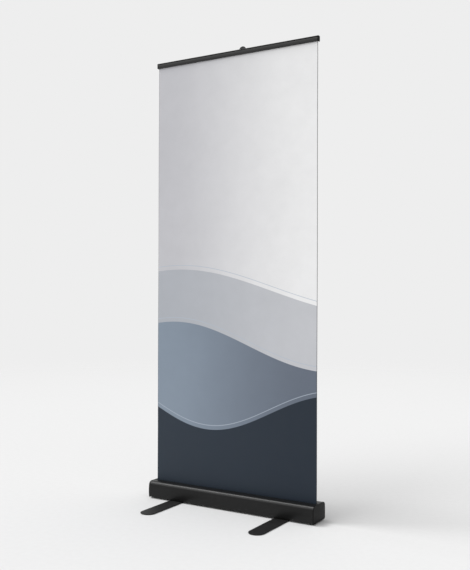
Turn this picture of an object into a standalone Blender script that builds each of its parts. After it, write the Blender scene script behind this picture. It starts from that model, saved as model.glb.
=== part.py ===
"""Roll-up banner stand: a spring-roller cassette on two swivel feet, with a telescopic pole
that holds up the clamp rail of a printed film.

Metres, +Z up. The front faces -Y, +X is the viewer's right, and the origin is on the floor
in the middle of the footprint.
"""

import math

import bmesh
import bpy
from mathutils import Vector

# ---- banner and top rail ----
BANNER_WIDTH = 0.850
BANNER_HEIGHT = 2.000
FILM_THICKNESS = 0.0004
RAIL_OVERHANG = 0.003
RAIL_HEIGHT = 0.024
RAIL_FRONT = 0.0075
RAIL_REAR = 0.0095
RAIL_WALL = 0.0022
RAIL_CAP_THICKNESS = 0.004
CHANNEL_WIDTH = 0.0040
CHANNEL_LIP_DROP = 0.012
GRIPPER_HEIGHT = 0.010
GRIPPER_THICKNESS = 0.0009
JAW_BEAD_RADIUS = 0.0014
JAW_BEAD_SETBACK = 0.0034
CRADLE_WALL = 0.0010

# ---- cassette ----
CASSETTE_DEPTH = 0.115
CASSETTE_HEIGHT = 0.0751
CASSETTE_OVERHANG = 0.0085
SHELL_WALL = 0.0020
TOP_CORNER_RADIUS = 0.018
BOTTOM_CORNER_RADIUS = 0.005
FACE_BULGE = 0.0015
SLOT_WIDTH = 0.009
SLOT_LIP_DROP = 0.007
SLOT_AHEAD = 0.004
END_CAP_THICKNESS = 0.004
END_CAP_PROUD = 0.0006
SEAL_THICKNESS = 0.0020

# ---- screws ----
CAP_SCREW_RADIUS = 0.0016
CAP_SCREW_LENGTH = 0.012
SCREW_HEAD_RADIUS = 0.0034
SCREW_HEAD_HEIGHT = 0.0020
SCREW_CLEARANCE = 0.0004
PORT_WALL = 0.0020

# ---- roller ----
ROLLER_RADIUS = 0.016
ROLLER_WALL = 0.0012
ROLL_BUILD_UP = 0.0010
ROLLER_FLOOR_CLEARANCE = 0.0165
ROLLER_END_CLEARANCE = 0.0015
ARBOR_RADIUS = 0.004
BOSS_RADIUS = 0.0080
BOSS_LENGTH = 0.0050
PLUG_DEPTH = 0.020
PLUG_FLANGE = 0.0015
SPRING_TURNS = 24
SPRING_LENGTH = 0.190
SPRING_RADIUS = 0.0090
SPRING_WIRE_RADIUS = 0.0007
ANCHOR_LENGTH = 0.012

# ---- feet ----
FOOT_SPACING = 0.560
FOOT_WIDTH = 0.072
FOOT_THICKNESS = 0.0030
FOOT_EDGE = 0.0008
FOOT_PIVOT_AHEAD = 0.025
FOOT_TIP_CLEARANCE = 0.002
FOOT_HEEL_CLEARANCE = 0.005
PAD_RADIUS = 0.012
PAD_THICKNESS = 0.0015
PAD_INSET = 0.010
BOLT_RADIUS = 0.003
BOLT_HEAD_RADIUS = 0.0062
WASHER_RADIUS = 0.018
WASHER_THICKNESS = 0.0005
NUT_RADIUS = 0.0055
NUT_HEIGHT = 0.0050

# ---- pole ----
POLE_SIDE = 0.040
POLE_BEHIND = 0.026
LOWER_RADIUS = 0.0110
TUBE_WALL = 0.0010
TUBE_CLEARANCE = 0.0005
POLE_OVERLAP = 0.060
SOCKET_DEPTH = 0.044
SOCKET_WALL = 0.0030
SOCKET_FLOOR = 0.0030
SOCKET_EAR_MARGIN = 0.0019
COLLET_SLEEVE = 0.024
COLLET_RISE = 0.012
COLLET_WALL = 0.0018
COLLAR_WALL = 0.0026
COLLAR_RIBS = 12
PLUG_RISE = 0.018

# ---- pole head ----
HEAD_SLEEVE = 0.024
HEAD_WALL = 0.0022
HEAD_WIDTH = 0.026
HEAD_TOP_THICKNESS = 0.004
KNOB_RADIUS = 0.0185
KNOB_THICKNESS = 0.0045
TONGUE_THICKNESS = 0.0030

# ---- shared clearances ----
GAP = 0.0003
CUT = 0.001

# ---- heights worked out from the floor up ----
FOOT_BOTTOM = PAD_THICKNESS + GAP
FOOT_TOP = FOOT_BOTTOM + FOOT_THICKNESS
WASHER_BOTTOM = FOOT_TOP + GAP
CASSETTE_BOTTOM = WASHER_BOTTOM + WASHER_THICKNESS + GAP
FLOOR_TOP = CASSETTE_BOTTOM + SHELL_WALL
CASSETTE_TOP = CASSETTE_BOTTOM + CASSETTE_HEIGHT
RAIL_BOTTOM = CASSETTE_TOP + BANNER_HEIGHT
RAIL_TOP = RAIL_BOTTOM + RAIL_HEIGHT

# ---- places along X ----
SHELL_HALF = BANNER_WIDTH / 2 + CASSETTE_OVERHANG
BASE_HALF = SHELL_HALF + END_CAP_THICKNESS
RAIL_HALF = BANNER_WIDTH / 2 + RAIL_OVERHANG
FOOT_X = FOOT_SPACING / 2
FRONT_ARM = FOOT_X - FOOT_TIP_CLEARANCE
REAR_ARM = BASE_HALF - FOOT_X - FOOT_HEEL_CLEARANCE
ROLLER_HALF = SHELL_HALF - BOSS_LENGTH - ROLLER_END_CLEARANCE

# ---- places along Y: the footprint runs from the front tips to the rear tips ----
BASE_Y = (FRONT_ARM + FOOT_PIVOT_AHEAD - (REAR_ARM - FOOT_PIVOT_AHEAD)) / 2
FOOT_Y = BASE_Y - FOOT_PIVOT_AHEAD
BANNER_Y = BASE_Y - SLOT_AHEAD
POLE_Y = BANNER_Y + POLE_BEHIND
FILM_HALF = FILM_THICKNESS / 2
ROLL_RADIUS = ROLLER_RADIUS + GAP + ROLL_BUILD_UP
ROLLER_Y = BANNER_Y - FILM_HALF - GAP - ROLL_RADIUS
ROLLER_Z = FLOOR_TOP + ROLLER_FLOOR_CLEARANCE + ROLLER_RADIUS

# ---- pole lengths: three equal sections with the same overlap ----
POLE_FOOT = FLOOR_TOP + GAP + SOCKET_FLOOR + GAP
CHANNEL_TOP = RAIL_TOP - RAIL_WALL
POLE_TOP = RAIL_BOTTOM - HEAD_TOP_THICKNESS - GAP
SECTION_LENGTH = (POLE_TOP - POLE_FOOT + 2 * POLE_OVERLAP) / 3
MIDDLE_RADIUS = LOWER_RADIUS - TUBE_WALL - TUBE_CLEARANCE
UPPER_RADIUS = MIDDLE_RADIUS - TUBE_WALL - TUBE_CLEARANCE
MIDDLE_FOOT = POLE_FOOT + SECTION_LENGTH - POLE_OVERLAP
UPPER_FOOT = MIDDLE_FOOT + SECTION_LENGTH - POLE_OVERLAP


# ---------------------------------------------------------------- helpers

def clear_scene():
    for item in list(bpy.data.objects):
        bpy.data.objects.remove(item, do_unlink=True)


def material(name, colour, roughness, metallic):
    made = bpy.data.materials.new(name)
    made.use_nodes = True
    shader = made.node_tree.nodes["Principled BSDF"]
    shader.inputs["Base Color"].default_value = (*colour, 1.0)
    shader.inputs["Roughness"].default_value = roughness
    shader.inputs["Metallic"].default_value = metallic
    return made


def pivot(name, place, parent=None):
    """An empty on a joint's axis; place is in world metres."""
    empty = bpy.data.objects.new(name, None)
    bpy.context.scene.collection.objects.link(empty)
    empty["place"] = place
    settle(empty, place, parent)
    return empty


def settle(item, place, parent):
    """Parent the item and set its location so that its origin is at place in the world."""
    if parent is None:
        item.location = place
        return
    item.parent = parent
    item.location = Vector(place) - Vector(parent["place"])


def piece(name, shape, place, parent, finish, turn=(0.0, 0.0, 0.0)):
    """Make the object of one sub-part from a bmesh whose own origin goes to place."""
    bmesh.ops.recalc_face_normals(shape, faces=shape.faces)
    mesh = bpy.data.meshes.new(name)
    shape.to_mesh(mesh)
    shape.free()
    mesh.shade_smooth()
    mesh.set_sharp_from_angle(angle=math.radians(30))
    item = bpy.data.objects.new(name, mesh)
    bpy.context.scene.collection.objects.link(item)
    item.rotation_euler = turn
    settle(item, place, parent)
    if finish is not None:
        mesh.materials.append(finish)
    return item


def boolean(item, shape, place, operation, turn=(0.0, 0.0, 0.0)):
    """Cut a shape out of the item, or join it on; place is in world metres."""
    helper = piece(item.name + "_" + operation.lower(), shape, place, None, None, turn)
    helper.hide_render = True
    helper.display_type = "WIRE"
    step = item.modifiers.new(operation.title(), "BOOLEAN")
    step.operation = operation
    step.object = helper


def arc(centre_y, centre_z, radius, start, end, steps):
    """Points of a circular arc, angles in degrees from +Y towards +Z."""
    points = []
    for step in range(steps + 1):
        angle = math.radians(start + (end - start) * step / steps)
        points.append((centre_y + radius * math.cos(angle), centre_z + radius * math.sin(angle)))
    return points


def loft_x(sections):
    """Closed solid through YZ outlines of equal point counts, given as (x, outline)."""
    shape = bmesh.new()
    rings = []
    for x, outline in sections:
        rings.append([shape.verts.new((x, y, z)) for y, z in outline])
    shape.faces.new(rings[0])
    shape.faces.new(list(reversed(rings[-1])))
    for ring, following in zip(rings, rings[1:]):
        for i, vertex in enumerate(ring):
            j = (i + 1) % len(ring)
            shape.faces.new((vertex, ring[j], following[j], following[i]))
    return shape


def prism_x(outline, x_start, x_end):
    return loft_x([(x_start, outline), (x_end, outline)])


def box(width, depth, height):
    """A block centred on its origin in X and Y that stands on Z = 0."""
    outline = [(-depth / 2, 0.0), (depth / 2, 0.0), (depth / 2, height), (-depth / 2, height)]
    return prism_x(outline, -width / 2, width / 2)


def turned(profile, segments=32, ribs=0, rib_depth=0.0):
    """Closed solid of revolution about Z from a closed (radius, z) profile."""
    shape = bmesh.new()
    rings = []
    for step in range(segments):
        angle = 2 * math.pi * step / segments
        groove = rib_depth * (0.5 - 0.5 * math.cos(ribs * angle))
        ring = []
        for radius, z in profile:
            shrunk = radius - groove if ribs and radius == max(r for r, _ in profile) else radius
            ring.append(shape.verts.new((shrunk * math.cos(angle), shrunk * math.sin(angle), z)))
        rings.append(ring)
    for step, ring in enumerate(rings):
        following = rings[(step + 1) % segments]
        for i, vertex in enumerate(ring):
            j = (i + 1) % len(ring)
            shape.faces.new((vertex, ring[j], following[j], following[i]))
    bmesh.ops.remove_doubles(shape, verts=shape.verts, dist=1e-6)
    bmesh.ops.dissolve_degenerate(shape, edges=shape.edges, dist=1e-6)
    return shape


def rod(radius, bottom, top, segments=32):
    """Solid cylinder about Z."""
    return turned([(0.0, bottom), (radius, bottom), (radius, top), (0.0, top)], segments)


def tube(outer, inner, bottom, top, segments=32):
    """Open pipe about Z."""
    return turned([(inner, bottom), (outer, bottom), (outer, top), (inner, top)], segments)


def pan_screw(radius, length):
    """Screw about Z: the head's top is at Z = 0 and the shank points down."""
    low = -SCREW_HEAD_HEIGHT
    edge = SCREW_HEAD_RADIUS - 0.0006
    return turned([(0.0, 0.0), (edge, 0.0), (SCREW_HEAD_RADIUS, low * 0.4), (SCREW_HEAD_RADIUS, low),
                   (radius, low), (radius, low - length), (0.0, low - length)], 16)


ALONG_X = (0.0, math.pi / 2, 0.0)
ALONG_Y = (math.pi / 2, 0.0, 0.0)


# ---------------------------------------------------------------- cassette

def side_wall(side, inset):
    """One side of the cassette's section from the top flat down to the bottom flat."""
    half = CASSETTE_DEPTH / 2 - inset
    top = CASSETTE_HEIGHT - inset
    upper = TOP_CORNER_RADIUS - inset
    lower = BOTTOM_CORNER_RADIUS - inset
    points = arc(half - upper, top - upper, upper, 90, 0, 8)
    straight_top = top - upper
    straight_bottom = inset + lower
    for step in range(1, 6):
        share = 2 * step / 6 - 1
        z = straight_top + (straight_bottom - straight_top) * step / 6
        points.append((half + FACE_BULGE * (1 - share * share), z))
    points += arc(half - lower, inset + lower, lower, 0, -90, 3)
    return [(side * y, z) for y, z in points]


def closed_section(inset):
    """The cassette's outline without its slot, relative to the base centre and bottom."""
    return side_wall(-1, inset) + list(reversed(side_wall(1, inset)))


def shell_section():
    """The extrusion's wall, open at the banner slot, whose edges turn down as lips."""
    front_edge = -SLOT_AHEAD - SLOT_WIDTH / 2
    rear_edge = -SLOT_AHEAD + SLOT_WIDTH / 2
    lip = CASSETTE_HEIGHT - SLOT_LIP_DROP
    ceiling = CASSETTE_HEIGHT - SHELL_WALL
    outer = [(front_edge, CASSETTE_HEIGHT)] + closed_section(0.0) + [(rear_edge, CASSETTE_HEIGHT)]
    rear_lip = [(rear_edge, lip), (rear_edge + SHELL_WALL, lip), (rear_edge + SHELL_WALL, ceiling)]
    inner = list(reversed(closed_section(SHELL_WALL)))
    front_lip = [(front_edge - SHELL_WALL, ceiling), (front_edge - SHELL_WALL, lip), (front_edge, lip)]
    return outer + rear_lip + inner + front_lip


def port_places():
    """Centres of the two screw ports: the upper rear corner and the lower front corner."""
    reach = CAP_SCREW_RADIUS + GAP + PORT_WALL
    upper = TOP_CORNER_RADIUS - SHELL_WALL - reach + CUT
    upper_y = CASSETTE_DEPTH / 2 - TOP_CORNER_RADIUS + upper * math.sqrt(0.5)
    upper_z = CASSETTE_HEIGHT - TOP_CORNER_RADIUS + upper * math.sqrt(0.5)
    lower_y = -CASSETTE_DEPTH / 2 + SHELL_WALL + reach - CUT
    lower_z = SHELL_WALL + reach - CUT
    return {"upper": (upper_y, upper_z, 225), "lower": (lower_y, lower_z, 45)}


def port_ring(name):
    """C-shaped screw port whose mouth faces into the cassette."""
    centre_y, centre_z, mouth = port_places()[name]
    bore = CAP_SCREW_RADIUS + GAP
    outer = arc(centre_y, centre_z, bore + PORT_WALL, mouth + 35, mouth + 325, 14)
    return outer + arc(centre_y, centre_z, bore, mouth + 325, mouth + 35, 14)


def cassette_shell(body, finish):
    place = (0.0, BASE_Y, CASSETTE_BOTTOM)
    shell = piece("cassette_shell", prism_x(shell_section(), -SHELL_HALF, SHELL_HALF), place, body, finish)
    for name in port_places():
        boolean(shell, prism_x(port_ring(name), -SHELL_HALF, SHELL_HALF), place, "UNION")
    pole_hole = rod(LOWER_RADIUS + 5 * GAP, CASSETTE_HEIGHT - SHELL_WALL - CUT, CASSETTE_HEIGHT + CUT)
    boolean(shell, pole_hole, (POLE_SIDE, POLE_Y, CASSETTE_BOTTOM), "DIFFERENCE")
    for x in (-FOOT_X, FOOT_X):
        hole = rod(BOLT_RADIUS + GAP, -CUT, SHELL_WALL + CUT, 16)
        boolean(shell, hole, (x, FOOT_Y, CASSETTE_BOTTOM), "DIFFERENCE")
    for x in socket_screw_places():
        hole = rod(CAP_SCREW_RADIUS + GAP, -CUT, SHELL_WALL + CUT, 16)
        boolean(shell, hole, (x, POLE_Y, CASSETTE_BOTTOM), "DIFFERENCE")


def end_cap(name, side, pocket_segments, body, finish):
    """Moulded end with a chamfered rim, a pocket boss for the roller's shaft and two lugs."""
    inner_face = side * (SHELL_HALF + GAP)
    outer_face = side * BASE_HALF
    rim = side * (BASE_HALF - 0.0014)
    sections = [(inner_face, closed_section(-END_CAP_PROUD)), (rim, closed_section(-END_CAP_PROUD)),
                (outer_face, closed_section(0.0009))]
    cap = piece(name, loft_x(sections), (0.0, BASE_Y, CASSETTE_BOTTOM), body, finish)
    boss_tip = side * (SHELL_HALF - BOSS_LENGTH)
    low, high = sorted((boss_tip, inner_face + side * CUT))
    boolean(cap, rod(BOSS_RADIUS, low, high, 24), (0.0, ROLLER_Y, ROLLER_Z), "UNION", ALONG_X)
    lug_height = CASSETTE_HEIGHT / 3
    for y in (-1, 1):
        lug_y = BASE_Y + y * (CASSETTE_DEPTH / 2 - SHELL_WALL - 3 * GAP - 0.001)
        lug = box(BOSS_LENGTH + CUT, 0.002, lug_height)
        lug_x = side * (SHELL_HALF - BOSS_LENGTH / 2 + GAP)
        boolean(cap, lug, (lug_x, lug_y, CASSETTE_BOTTOM + lug_height), "UNION")
    pocket_floor = side * (BASE_HALF - END_CAP_THICKNESS / 2)
    low, high = sorted((boss_tip - side * CUT, pocket_floor))
    pocket = rod(ARBOR_RADIUS + GAP, low, high, pocket_segments)
    boolean(cap, pocket, (0.0, ROLLER_Y, ROLLER_Z), "DIFFERENCE", ALONG_X)
    for port in port_places().values():
        place = (0.0, BASE_Y + port[0], CASSETTE_BOTTOM + port[1])
        low, high = sorted((inner_face - side * CUT, outer_face + side * CUT))
        boolean(cap, rod(CAP_SCREW_RADIUS + GAP, low, high, 16), place, "DIFFERENCE", ALONG_X)
        head_seat = side * (BASE_HALF - SCREW_HEAD_HEIGHT - 2 * GAP)
        low, high = sorted((head_seat, outer_face + side * CUT))
        boolean(cap, rod(SCREW_HEAD_RADIUS + SCREW_CLEARANCE, low, high, 16), place, "DIFFERENCE", ALONG_X)


def cap_screws(word, side, body, finish):
    for name, port in port_places().items():
        screw = pan_screw(CAP_SCREW_RADIUS, CAP_SCREW_LENGTH)
        place = (side * (BASE_HALF - GAP), BASE_Y + port[0], CASSETTE_BOTTOM + port[1])
        turn = (0.0, side * math.pi / 2, 0.0)
        piece("cap_screw_" + word + "_" + name, screw, place, body, finish, turn)


def slot_seals(body, finish):
    """Brush strips on the inner faces of the two slot lips."""
    height = SLOT_LIP_DROP - 2 * GAP
    for word, side in (("front", -1), ("rear", 1)):
        y = BANNER_Y + side * (SLOT_WIDTH / 2 - GAP - SEAL_THICKNESS / 2)
        strip = box(2 * SHELL_HALF - 4 * GAP, SEAL_THICKNESS, height)
        piece("slot_seal_" + word, strip, (0.0, y, CASSETTE_TOP - SLOT_LIP_DROP + GAP), body, finish)


# ---------------------------------------------------------------- roller

def roller_plug(name, side, body, finish):
    """Bush in the tube's end: a spigot inside, a flange outside and a bore for the shaft."""
    spigot = ROLLER_RADIUS - ROLLER_WALL - GAP
    flange = ROLLER_RADIUS
    bore = ARBOR_RADIUS + GAP
    tube_end = -PLUG_FLANGE - GAP
    profile = [(bore, 0.0), (bore, -PLUG_DEPTH), (spigot, -PLUG_DEPTH), (spigot, tube_end + GAP),
               (flange, tube_end + GAP), (flange, 0.0)]
    place = (side * ROLLER_HALF, ROLLER_Y, ROLLER_Z)
    piece(name, turned(profile, 24), place, body, finish, (0.0, side * math.pi / 2, 0.0))


def spring_path():
    """Start and end of the spring along X: it fills most of the space from plug to anchor."""
    start = -ROLLER_HALF + PLUG_DEPTH + 2 * GAP + SPRING_WIRE_RADIUS
    return start, start + SPRING_LENGTH


def torsion_spring(body, finish):
    """Helix wound round the arbor."""
    start, end = spring_path()
    steps_per_turn = 10
    count = SPRING_TURNS * steps_per_turn
    curve = bpy.data.curves.new("torsion_spring", "CURVE")
    curve.dimensions = "3D"
    curve.bevel_depth = SPRING_WIRE_RADIUS
    curve.bevel_resolution = 0
    curve.use_fill_caps = True
    line = curve.splines.new("POLY")
    line.points.add(count)
    for step in range(count + 1):
        angle = 2 * math.pi * step / steps_per_turn
        x = start + (end - start) * step / count
        line.points[step].co = (x, SPRING_RADIUS * math.cos(angle), SPRING_RADIUS * math.sin(angle), 1.0)
    spring = bpy.data.objects.new("torsion_spring", curve)
    bpy.context.scene.collection.objects.link(spring)
    curve.materials.append(finish)
    settle(spring, (0.0, ROLLER_Y, ROLLER_Z), body)


def roller_group(base, roller, finishes):
    axis = (0.0, ROLLER_Y, ROLLER_Z)
    tube_half = ROLLER_HALF - PLUG_FLANGE - GAP
    barrel = tube(ROLLER_RADIUS, ROLLER_RADIUS - ROLLER_WALL, -tube_half, tube_half)
    piece("roller_tube", barrel, axis, roller, finishes["tube"], ALONG_X)
    roll = tube(ROLL_RADIUS, ROLLER_RADIUS + GAP, -BANNER_WIDTH / 2, BANNER_WIDTH / 2)
    piece("banner_roll", roll, axis, roller, finishes["film_back"], ALONG_X)
    roller_plug("roller_plug_left", -1, roller, finishes["plastic"])
    roller_plug("roller_plug_right", 1, roller, finishes["plastic"])
    spring_end = spring_path()[1] + SPRING_WIRE_RADIUS + GAP
    anchor = tube(ROLLER_RADIUS - ROLLER_WALL - GAP, ARBOR_RADIUS + GAP, 0.0, ANCHOR_LENGTH, 24)
    piece("spring_anchor", anchor, (spring_end, ROLLER_Y, ROLLER_Z), roller, finishes["plastic"], ALONG_X)
    torsion_spring(base, finishes["spring"])
    shaft_end = -(BASE_HALF - END_CAP_THICKNESS / 2 - GAP)
    arbor = rod(ARBOR_RADIUS, 0.0, spring_end + 2 * ANCHOR_LENGTH - shaft_end, 6)
    piece("spring_arbor", arbor, (shaft_end, ROLLER_Y, ROLLER_Z), base, finishes["steel"], ALONG_X)
    axle_length = -shaft_end - ROLLER_HALF + 2 * PLUG_DEPTH
    axle = rod(ARBOR_RADIUS, -axle_length, 0.0, 24)
    piece("idle_axle", axle, (-shaft_end, ROLLER_Y, ROLLER_Z), base, finishes["steel"], ALONG_X)


# ---------------------------------------------------------------- feet

def foot_outline(inset):
    """Flat bar with round ends, as (x, y) points round the pivot at (0, 0)."""
    radius = FOOT_WIDTH / 2 - inset
    front = arc(0.0, -(FRONT_ARM - FOOT_WIDTH / 2), radius, 180, 360, 16)
    rear = arc(0.0, REAR_ARM - FOOT_WIDTH / 2, radius, 0, 180, 16)
    return front + rear


def foot_bar(name, place, body, finish):
    """Flat steel bar whose upper edge is broken, with a countersunk hole for its pivot bolt."""
    shape = bmesh.new()
    rings = []
    for z, inset in ((0.0, 0.0), (FOOT_THICKNESS - FOOT_EDGE, 0.0), (FOOT_THICKNESS, FOOT_EDGE)):
        rings.append([shape.verts.new((x, y, z)) for x, y in foot_outline(inset)])
    shape.faces.new(rings[0])
    shape.faces.new(rings[-1])
    for ring, following in zip(rings, rings[1:]):
        for i, vertex in enumerate(ring):
            j = (i + 1) % len(ring)
            shape.faces.new((vertex, ring[j], following[j], following[i]))
    bar = piece(name, shape, place, body, finish)
    wide = BOLT_HEAD_RADIUS + GAP
    narrow = BOLT_RADIUS + GAP
    sink = turned([(0.0, -CUT), (wide, -CUT), (wide, GAP), (narrow, FOOT_THICKNESS - FOOT_EDGE),
                   (narrow, FOOT_THICKNESS + CUT), (0.0, FOOT_THICKNESS + CUT)], 24)
    boolean(bar, sink, place, "DIFFERENCE")


def foot_fasteners(word, x, base, finishes):
    """Countersunk pivot bolt, friction washer and lock nut, all fixed to the cassette floor."""
    nut_bottom = FLOOR_TOP + GAP
    top = nut_bottom + NUT_HEIGHT + 0.002
    cone_top = FOOT_BOTTOM + FOOT_THICKNESS - FOOT_EDGE
    profile = [(0.0, FOOT_BOTTOM), (BOLT_HEAD_RADIUS, FOOT_BOTTOM), (BOLT_HEAD_RADIUS, FOOT_BOTTOM + GAP),
               (BOLT_RADIUS, cone_top), (BOLT_RADIUS, top), (0.0, top)]
    piece("foot_bolt_" + word, turned(profile, 24), (x, FOOT_Y, 0.0), base, finishes["steel"])
    washer = tube(WASHER_RADIUS, BOLT_RADIUS + GAP, WASHER_BOTTOM, WASHER_BOTTOM + WASHER_THICKNESS, 24)
    piece("foot_washer_" + word, washer, (x, FOOT_Y, 0.0), base, finishes["nylon"])
    nut = rod(NUT_RADIUS, nut_bottom, nut_bottom + NUT_HEIGHT, 6)
    lock_nut = piece("foot_nut_" + word, nut, (x, FOOT_Y, 0.0), base, finishes["steel"])
    bore = rod(BOLT_RADIUS + GAP, nut_bottom - CUT, nut_bottom + NUT_HEIGHT + CUT, 16)
    boolean(lock_nut, bore, (x, FOOT_Y, 0.0), "DIFFERENCE")


def feet(base, finishes):
    for word, side in (("left", -1), ("right", 1)):
        x = side * FOOT_X
        foot = pivot("foot_" + word + "_pivot", (x, FOOT_Y, 0.0), base)
        foot_bar("foot_bar_" + word, (x, FOOT_Y, FOOT_BOTTOM), foot, finishes["steel_black"])
        front = -FRONT_ARM + PAD_INSET + PAD_RADIUS
        rear = REAR_ARM - PAD_INSET - PAD_RADIUS
        for end, y in (("front", front), ("rear", rear)):
            pad = rod(PAD_RADIUS, 0.0, PAD_THICKNESS, 20)
            piece("foot_pad_" + word + "_" + end, pad, (x, FOOT_Y + y, 0.0), foot, finishes["rubber"])
        foot_fasteners(word, x, base, finishes)


# ---------------------------------------------------------------- pole

def socket_screw_reach():
    """Distance of each ear's screw from the pole's axis, clear of the cup's wall."""
    return LOWER_RADIUS + GAP + SOCKET_WALL + SOCKET_EAR_MARGIN + SCREW_HEAD_RADIUS


def socket_screw_places():
    return (POLE_SIDE - socket_screw_reach(), POLE_SIDE + socket_screw_reach())


def pole_socket(body, finishes):
    """Cup on the cassette floor that the pole's foot drops into, with two screwed ears."""
    bottom = FLOOR_TOP + GAP
    bore = LOWER_RADIUS + GAP
    outer = bore + SOCKET_WALL
    cup = turned([(0.0, 0.0), (outer, 0.0), (outer, SOCKET_DEPTH), (bore, SOCKET_DEPTH),
                  (bore, SOCKET_FLOOR), (0.0, SOCKET_FLOOR)], 32)
    place = (POLE_SIDE, POLE_Y, bottom)
    socket = piece("pole_socket", cup, place, body, finishes["plastic"])
    ear_edge = SCREW_HEAD_RADIUS + CUT
    ears = box(2 * (socket_screw_reach() + ear_edge), 2 * ear_edge, SOCKET_FLOOR - GAP)
    boolean(socket, ears, place, "UNION")
    for word, x in zip(("left", "right"), socket_screw_places()):
        hole = rod(CAP_SCREW_RADIUS + GAP, -CUT, SOCKET_FLOOR + CUT, 16)
        boolean(socket, hole, (x, POLE_Y, bottom), "DIFFERENCE")
        head_top = bottom + SOCKET_FLOOR + SCREW_HEAD_HEIGHT
        screw = pan_screw(CAP_SCREW_RADIUS, SOCKET_FLOOR + SHELL_WALL)
        piece("socket_screw_" + word, screw, (x, POLE_Y, head_top), body, finishes["steel"])


def foot_plug(name, radius, bottom, body, finish, rise):
    """Plug under a tube: a spigot inside it and a flange of the tube's own radius below."""
    spigot = radius - TUBE_WALL - GAP
    profile = [(0.0, -0.002), (radius, -0.002), (radius, -GAP), (spigot, -GAP), (spigot, rise), (0.0, rise)]
    piece(name, turned(profile, 24), (POLE_SIDE, POLE_Y, bottom), body, finish)


def collet(name, radius, inner_radius, top, body, finish):
    """Split clamp on a tube's top: a sleeve round it and a nose round the next tube."""
    sleeve_in = radius + GAP
    sleeve_out = sleeve_in + COLLET_WALL
    nose_in = inner_radius + GAP
    profile = [(sleeve_in, -COLLET_SLEEVE), (sleeve_out, -COLLET_SLEEVE), (sleeve_out, COLLET_RISE - 0.002),
               (sleeve_out - 0.0015, COLLET_RISE), (nose_in, COLLET_RISE), (nose_in, GAP), (sleeve_in, GAP)]
    piece(name, turned(profile, 24), (POLE_SIDE, POLE_Y, top), body, finish)


def collar(name, radius, inner_radius, top, body, finish):
    """Ribbed twist ring over the collet, with an inner lip over its nose."""
    bore = radius + GAP + COLLET_WALL + GAP
    outer = bore + COLLAR_WALL
    lip = inner_radius + GAP
    crown = COLLET_RISE + GAP + 0.002
    profile = [(bore, -COLLET_SLEEVE / 2), (outer, -COLLET_SLEEVE / 2), (outer, crown),
               (lip, crown), (lip, COLLET_RISE + GAP), (bore, COLLET_RISE + GAP)]
    ring = turned(profile, 4 * COLLAR_RIBS, COLLAR_RIBS, 0.0008)
    piece(name, ring, (POLE_SIDE, POLE_Y, top), body, finish)


def pole_group(base, finishes):
    axis = (POLE_SIDE, POLE_Y, 0.0)
    lower = pivot("pole_lower_slide", axis, base)
    middle = pivot("pole_middle_slide", axis, lower)
    upper = pivot("pole_upper_slide", axis, middle)
    sections = (("lower", LOWER_RADIUS, POLE_FOOT + 0.002, lower), ("middle", MIDDLE_RADIUS, MIDDLE_FOOT, middle),
                ("upper", UPPER_RADIUS, UPPER_FOOT, upper))
    for word, radius, foot, body in sections:
        length = SECTION_LENGTH - 0.002 if word == "lower" else SECTION_LENGTH
        pipe = tube(radius, radius - TUBE_WALL, 0.0, length)
        piece("pole_" + word + "_tube", pipe, (POLE_SIDE, POLE_Y, foot), body, finishes["tube"])
        rise = PLUG_RISE if word != "upper" else PLUG_RISE / 2
        foot_plug("pole_" + word + "_plug", radius, foot, body, finishes["plastic"], rise)
    lower_top = POLE_FOOT + SECTION_LENGTH
    middle_top = MIDDLE_FOOT + SECTION_LENGTH
    collet("collet_lower", LOWER_RADIUS, MIDDLE_RADIUS, lower_top, lower, finishes["plastic"])
    collet("collet_upper", MIDDLE_RADIUS, UPPER_RADIUS, middle_top, middle, finishes["plastic"])
    lower_twist = pivot("collar_lower_twist", (POLE_SIDE, POLE_Y, lower_top), lower)
    upper_twist = pivot("collar_upper_twist", (POLE_SIDE, POLE_Y, middle_top), middle)
    collar("collar_lower", LOWER_RADIUS, MIDDLE_RADIUS, lower_top, lower_twist, finishes["plastic"])
    collar("collar_upper", MIDDLE_RADIUS, UPPER_RADIUS, middle_top, upper_twist, finishes["plastic"])
    pole_head(upper, finishes["plastic"])
    return upper


def pole_head(body, finish):
    """Sleeve on the pole's top, a bridge forward, the hook tongue and the round knob."""
    bore = UPPER_RADIUS + GAP
    outer = bore + HEAD_WALL
    profile = [(bore, -HEAD_SLEEVE), (outer, -HEAD_SLEEVE), (outer, HEAD_TOP_THICKNESS + GAP),
               (0.0, HEAD_TOP_THICKNESS + GAP), (0.0, GAP), (bore, GAP)]
    head = piece("pole_head", turned(profile, 24), (POLE_SIDE, POLE_Y, POLE_TOP), body, finish)
    tongue_y = BANNER_Y + RAIL_REAR - RAIL_WALL - CHANNEL_WIDTH / 2
    knob_front = BANNER_Y + RAIL_REAR + 2 * GAP
    bridge_bottom = RAIL_BOTTOM - HEAD_TOP_THICKNESS
    bridge_top = RAIL_TOP - CHANNEL_LIP_DROP - 3 * GAP
    tongue_top = CHANNEL_TOP - GAP
    front = tongue_y - TONGUE_THICKNESS / 2
    bridge = box(HEAD_WIDTH, POLE_Y - front, bridge_top - bridge_bottom)
    boolean(head, bridge, (POLE_SIDE, (POLE_Y + front) / 2, bridge_bottom), "UNION")
    tongue = box(HEAD_WIDTH, TONGUE_THICKNESS, tongue_top - bridge_top + CUT)
    boolean(head, tongue, (POLE_SIDE, tongue_y, bridge_top - CUT), "UNION")
    knob = rod(KNOB_RADIUS, 0.0, KNOB_THICKNESS, 32)
    knob_place = (POLE_SIDE, knob_front + KNOB_THICKNESS, RAIL_TOP - CUT)
    boolean(head, knob, knob_place, "UNION", ALONG_Y)


# ---------------------------------------------------------------- rail

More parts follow.
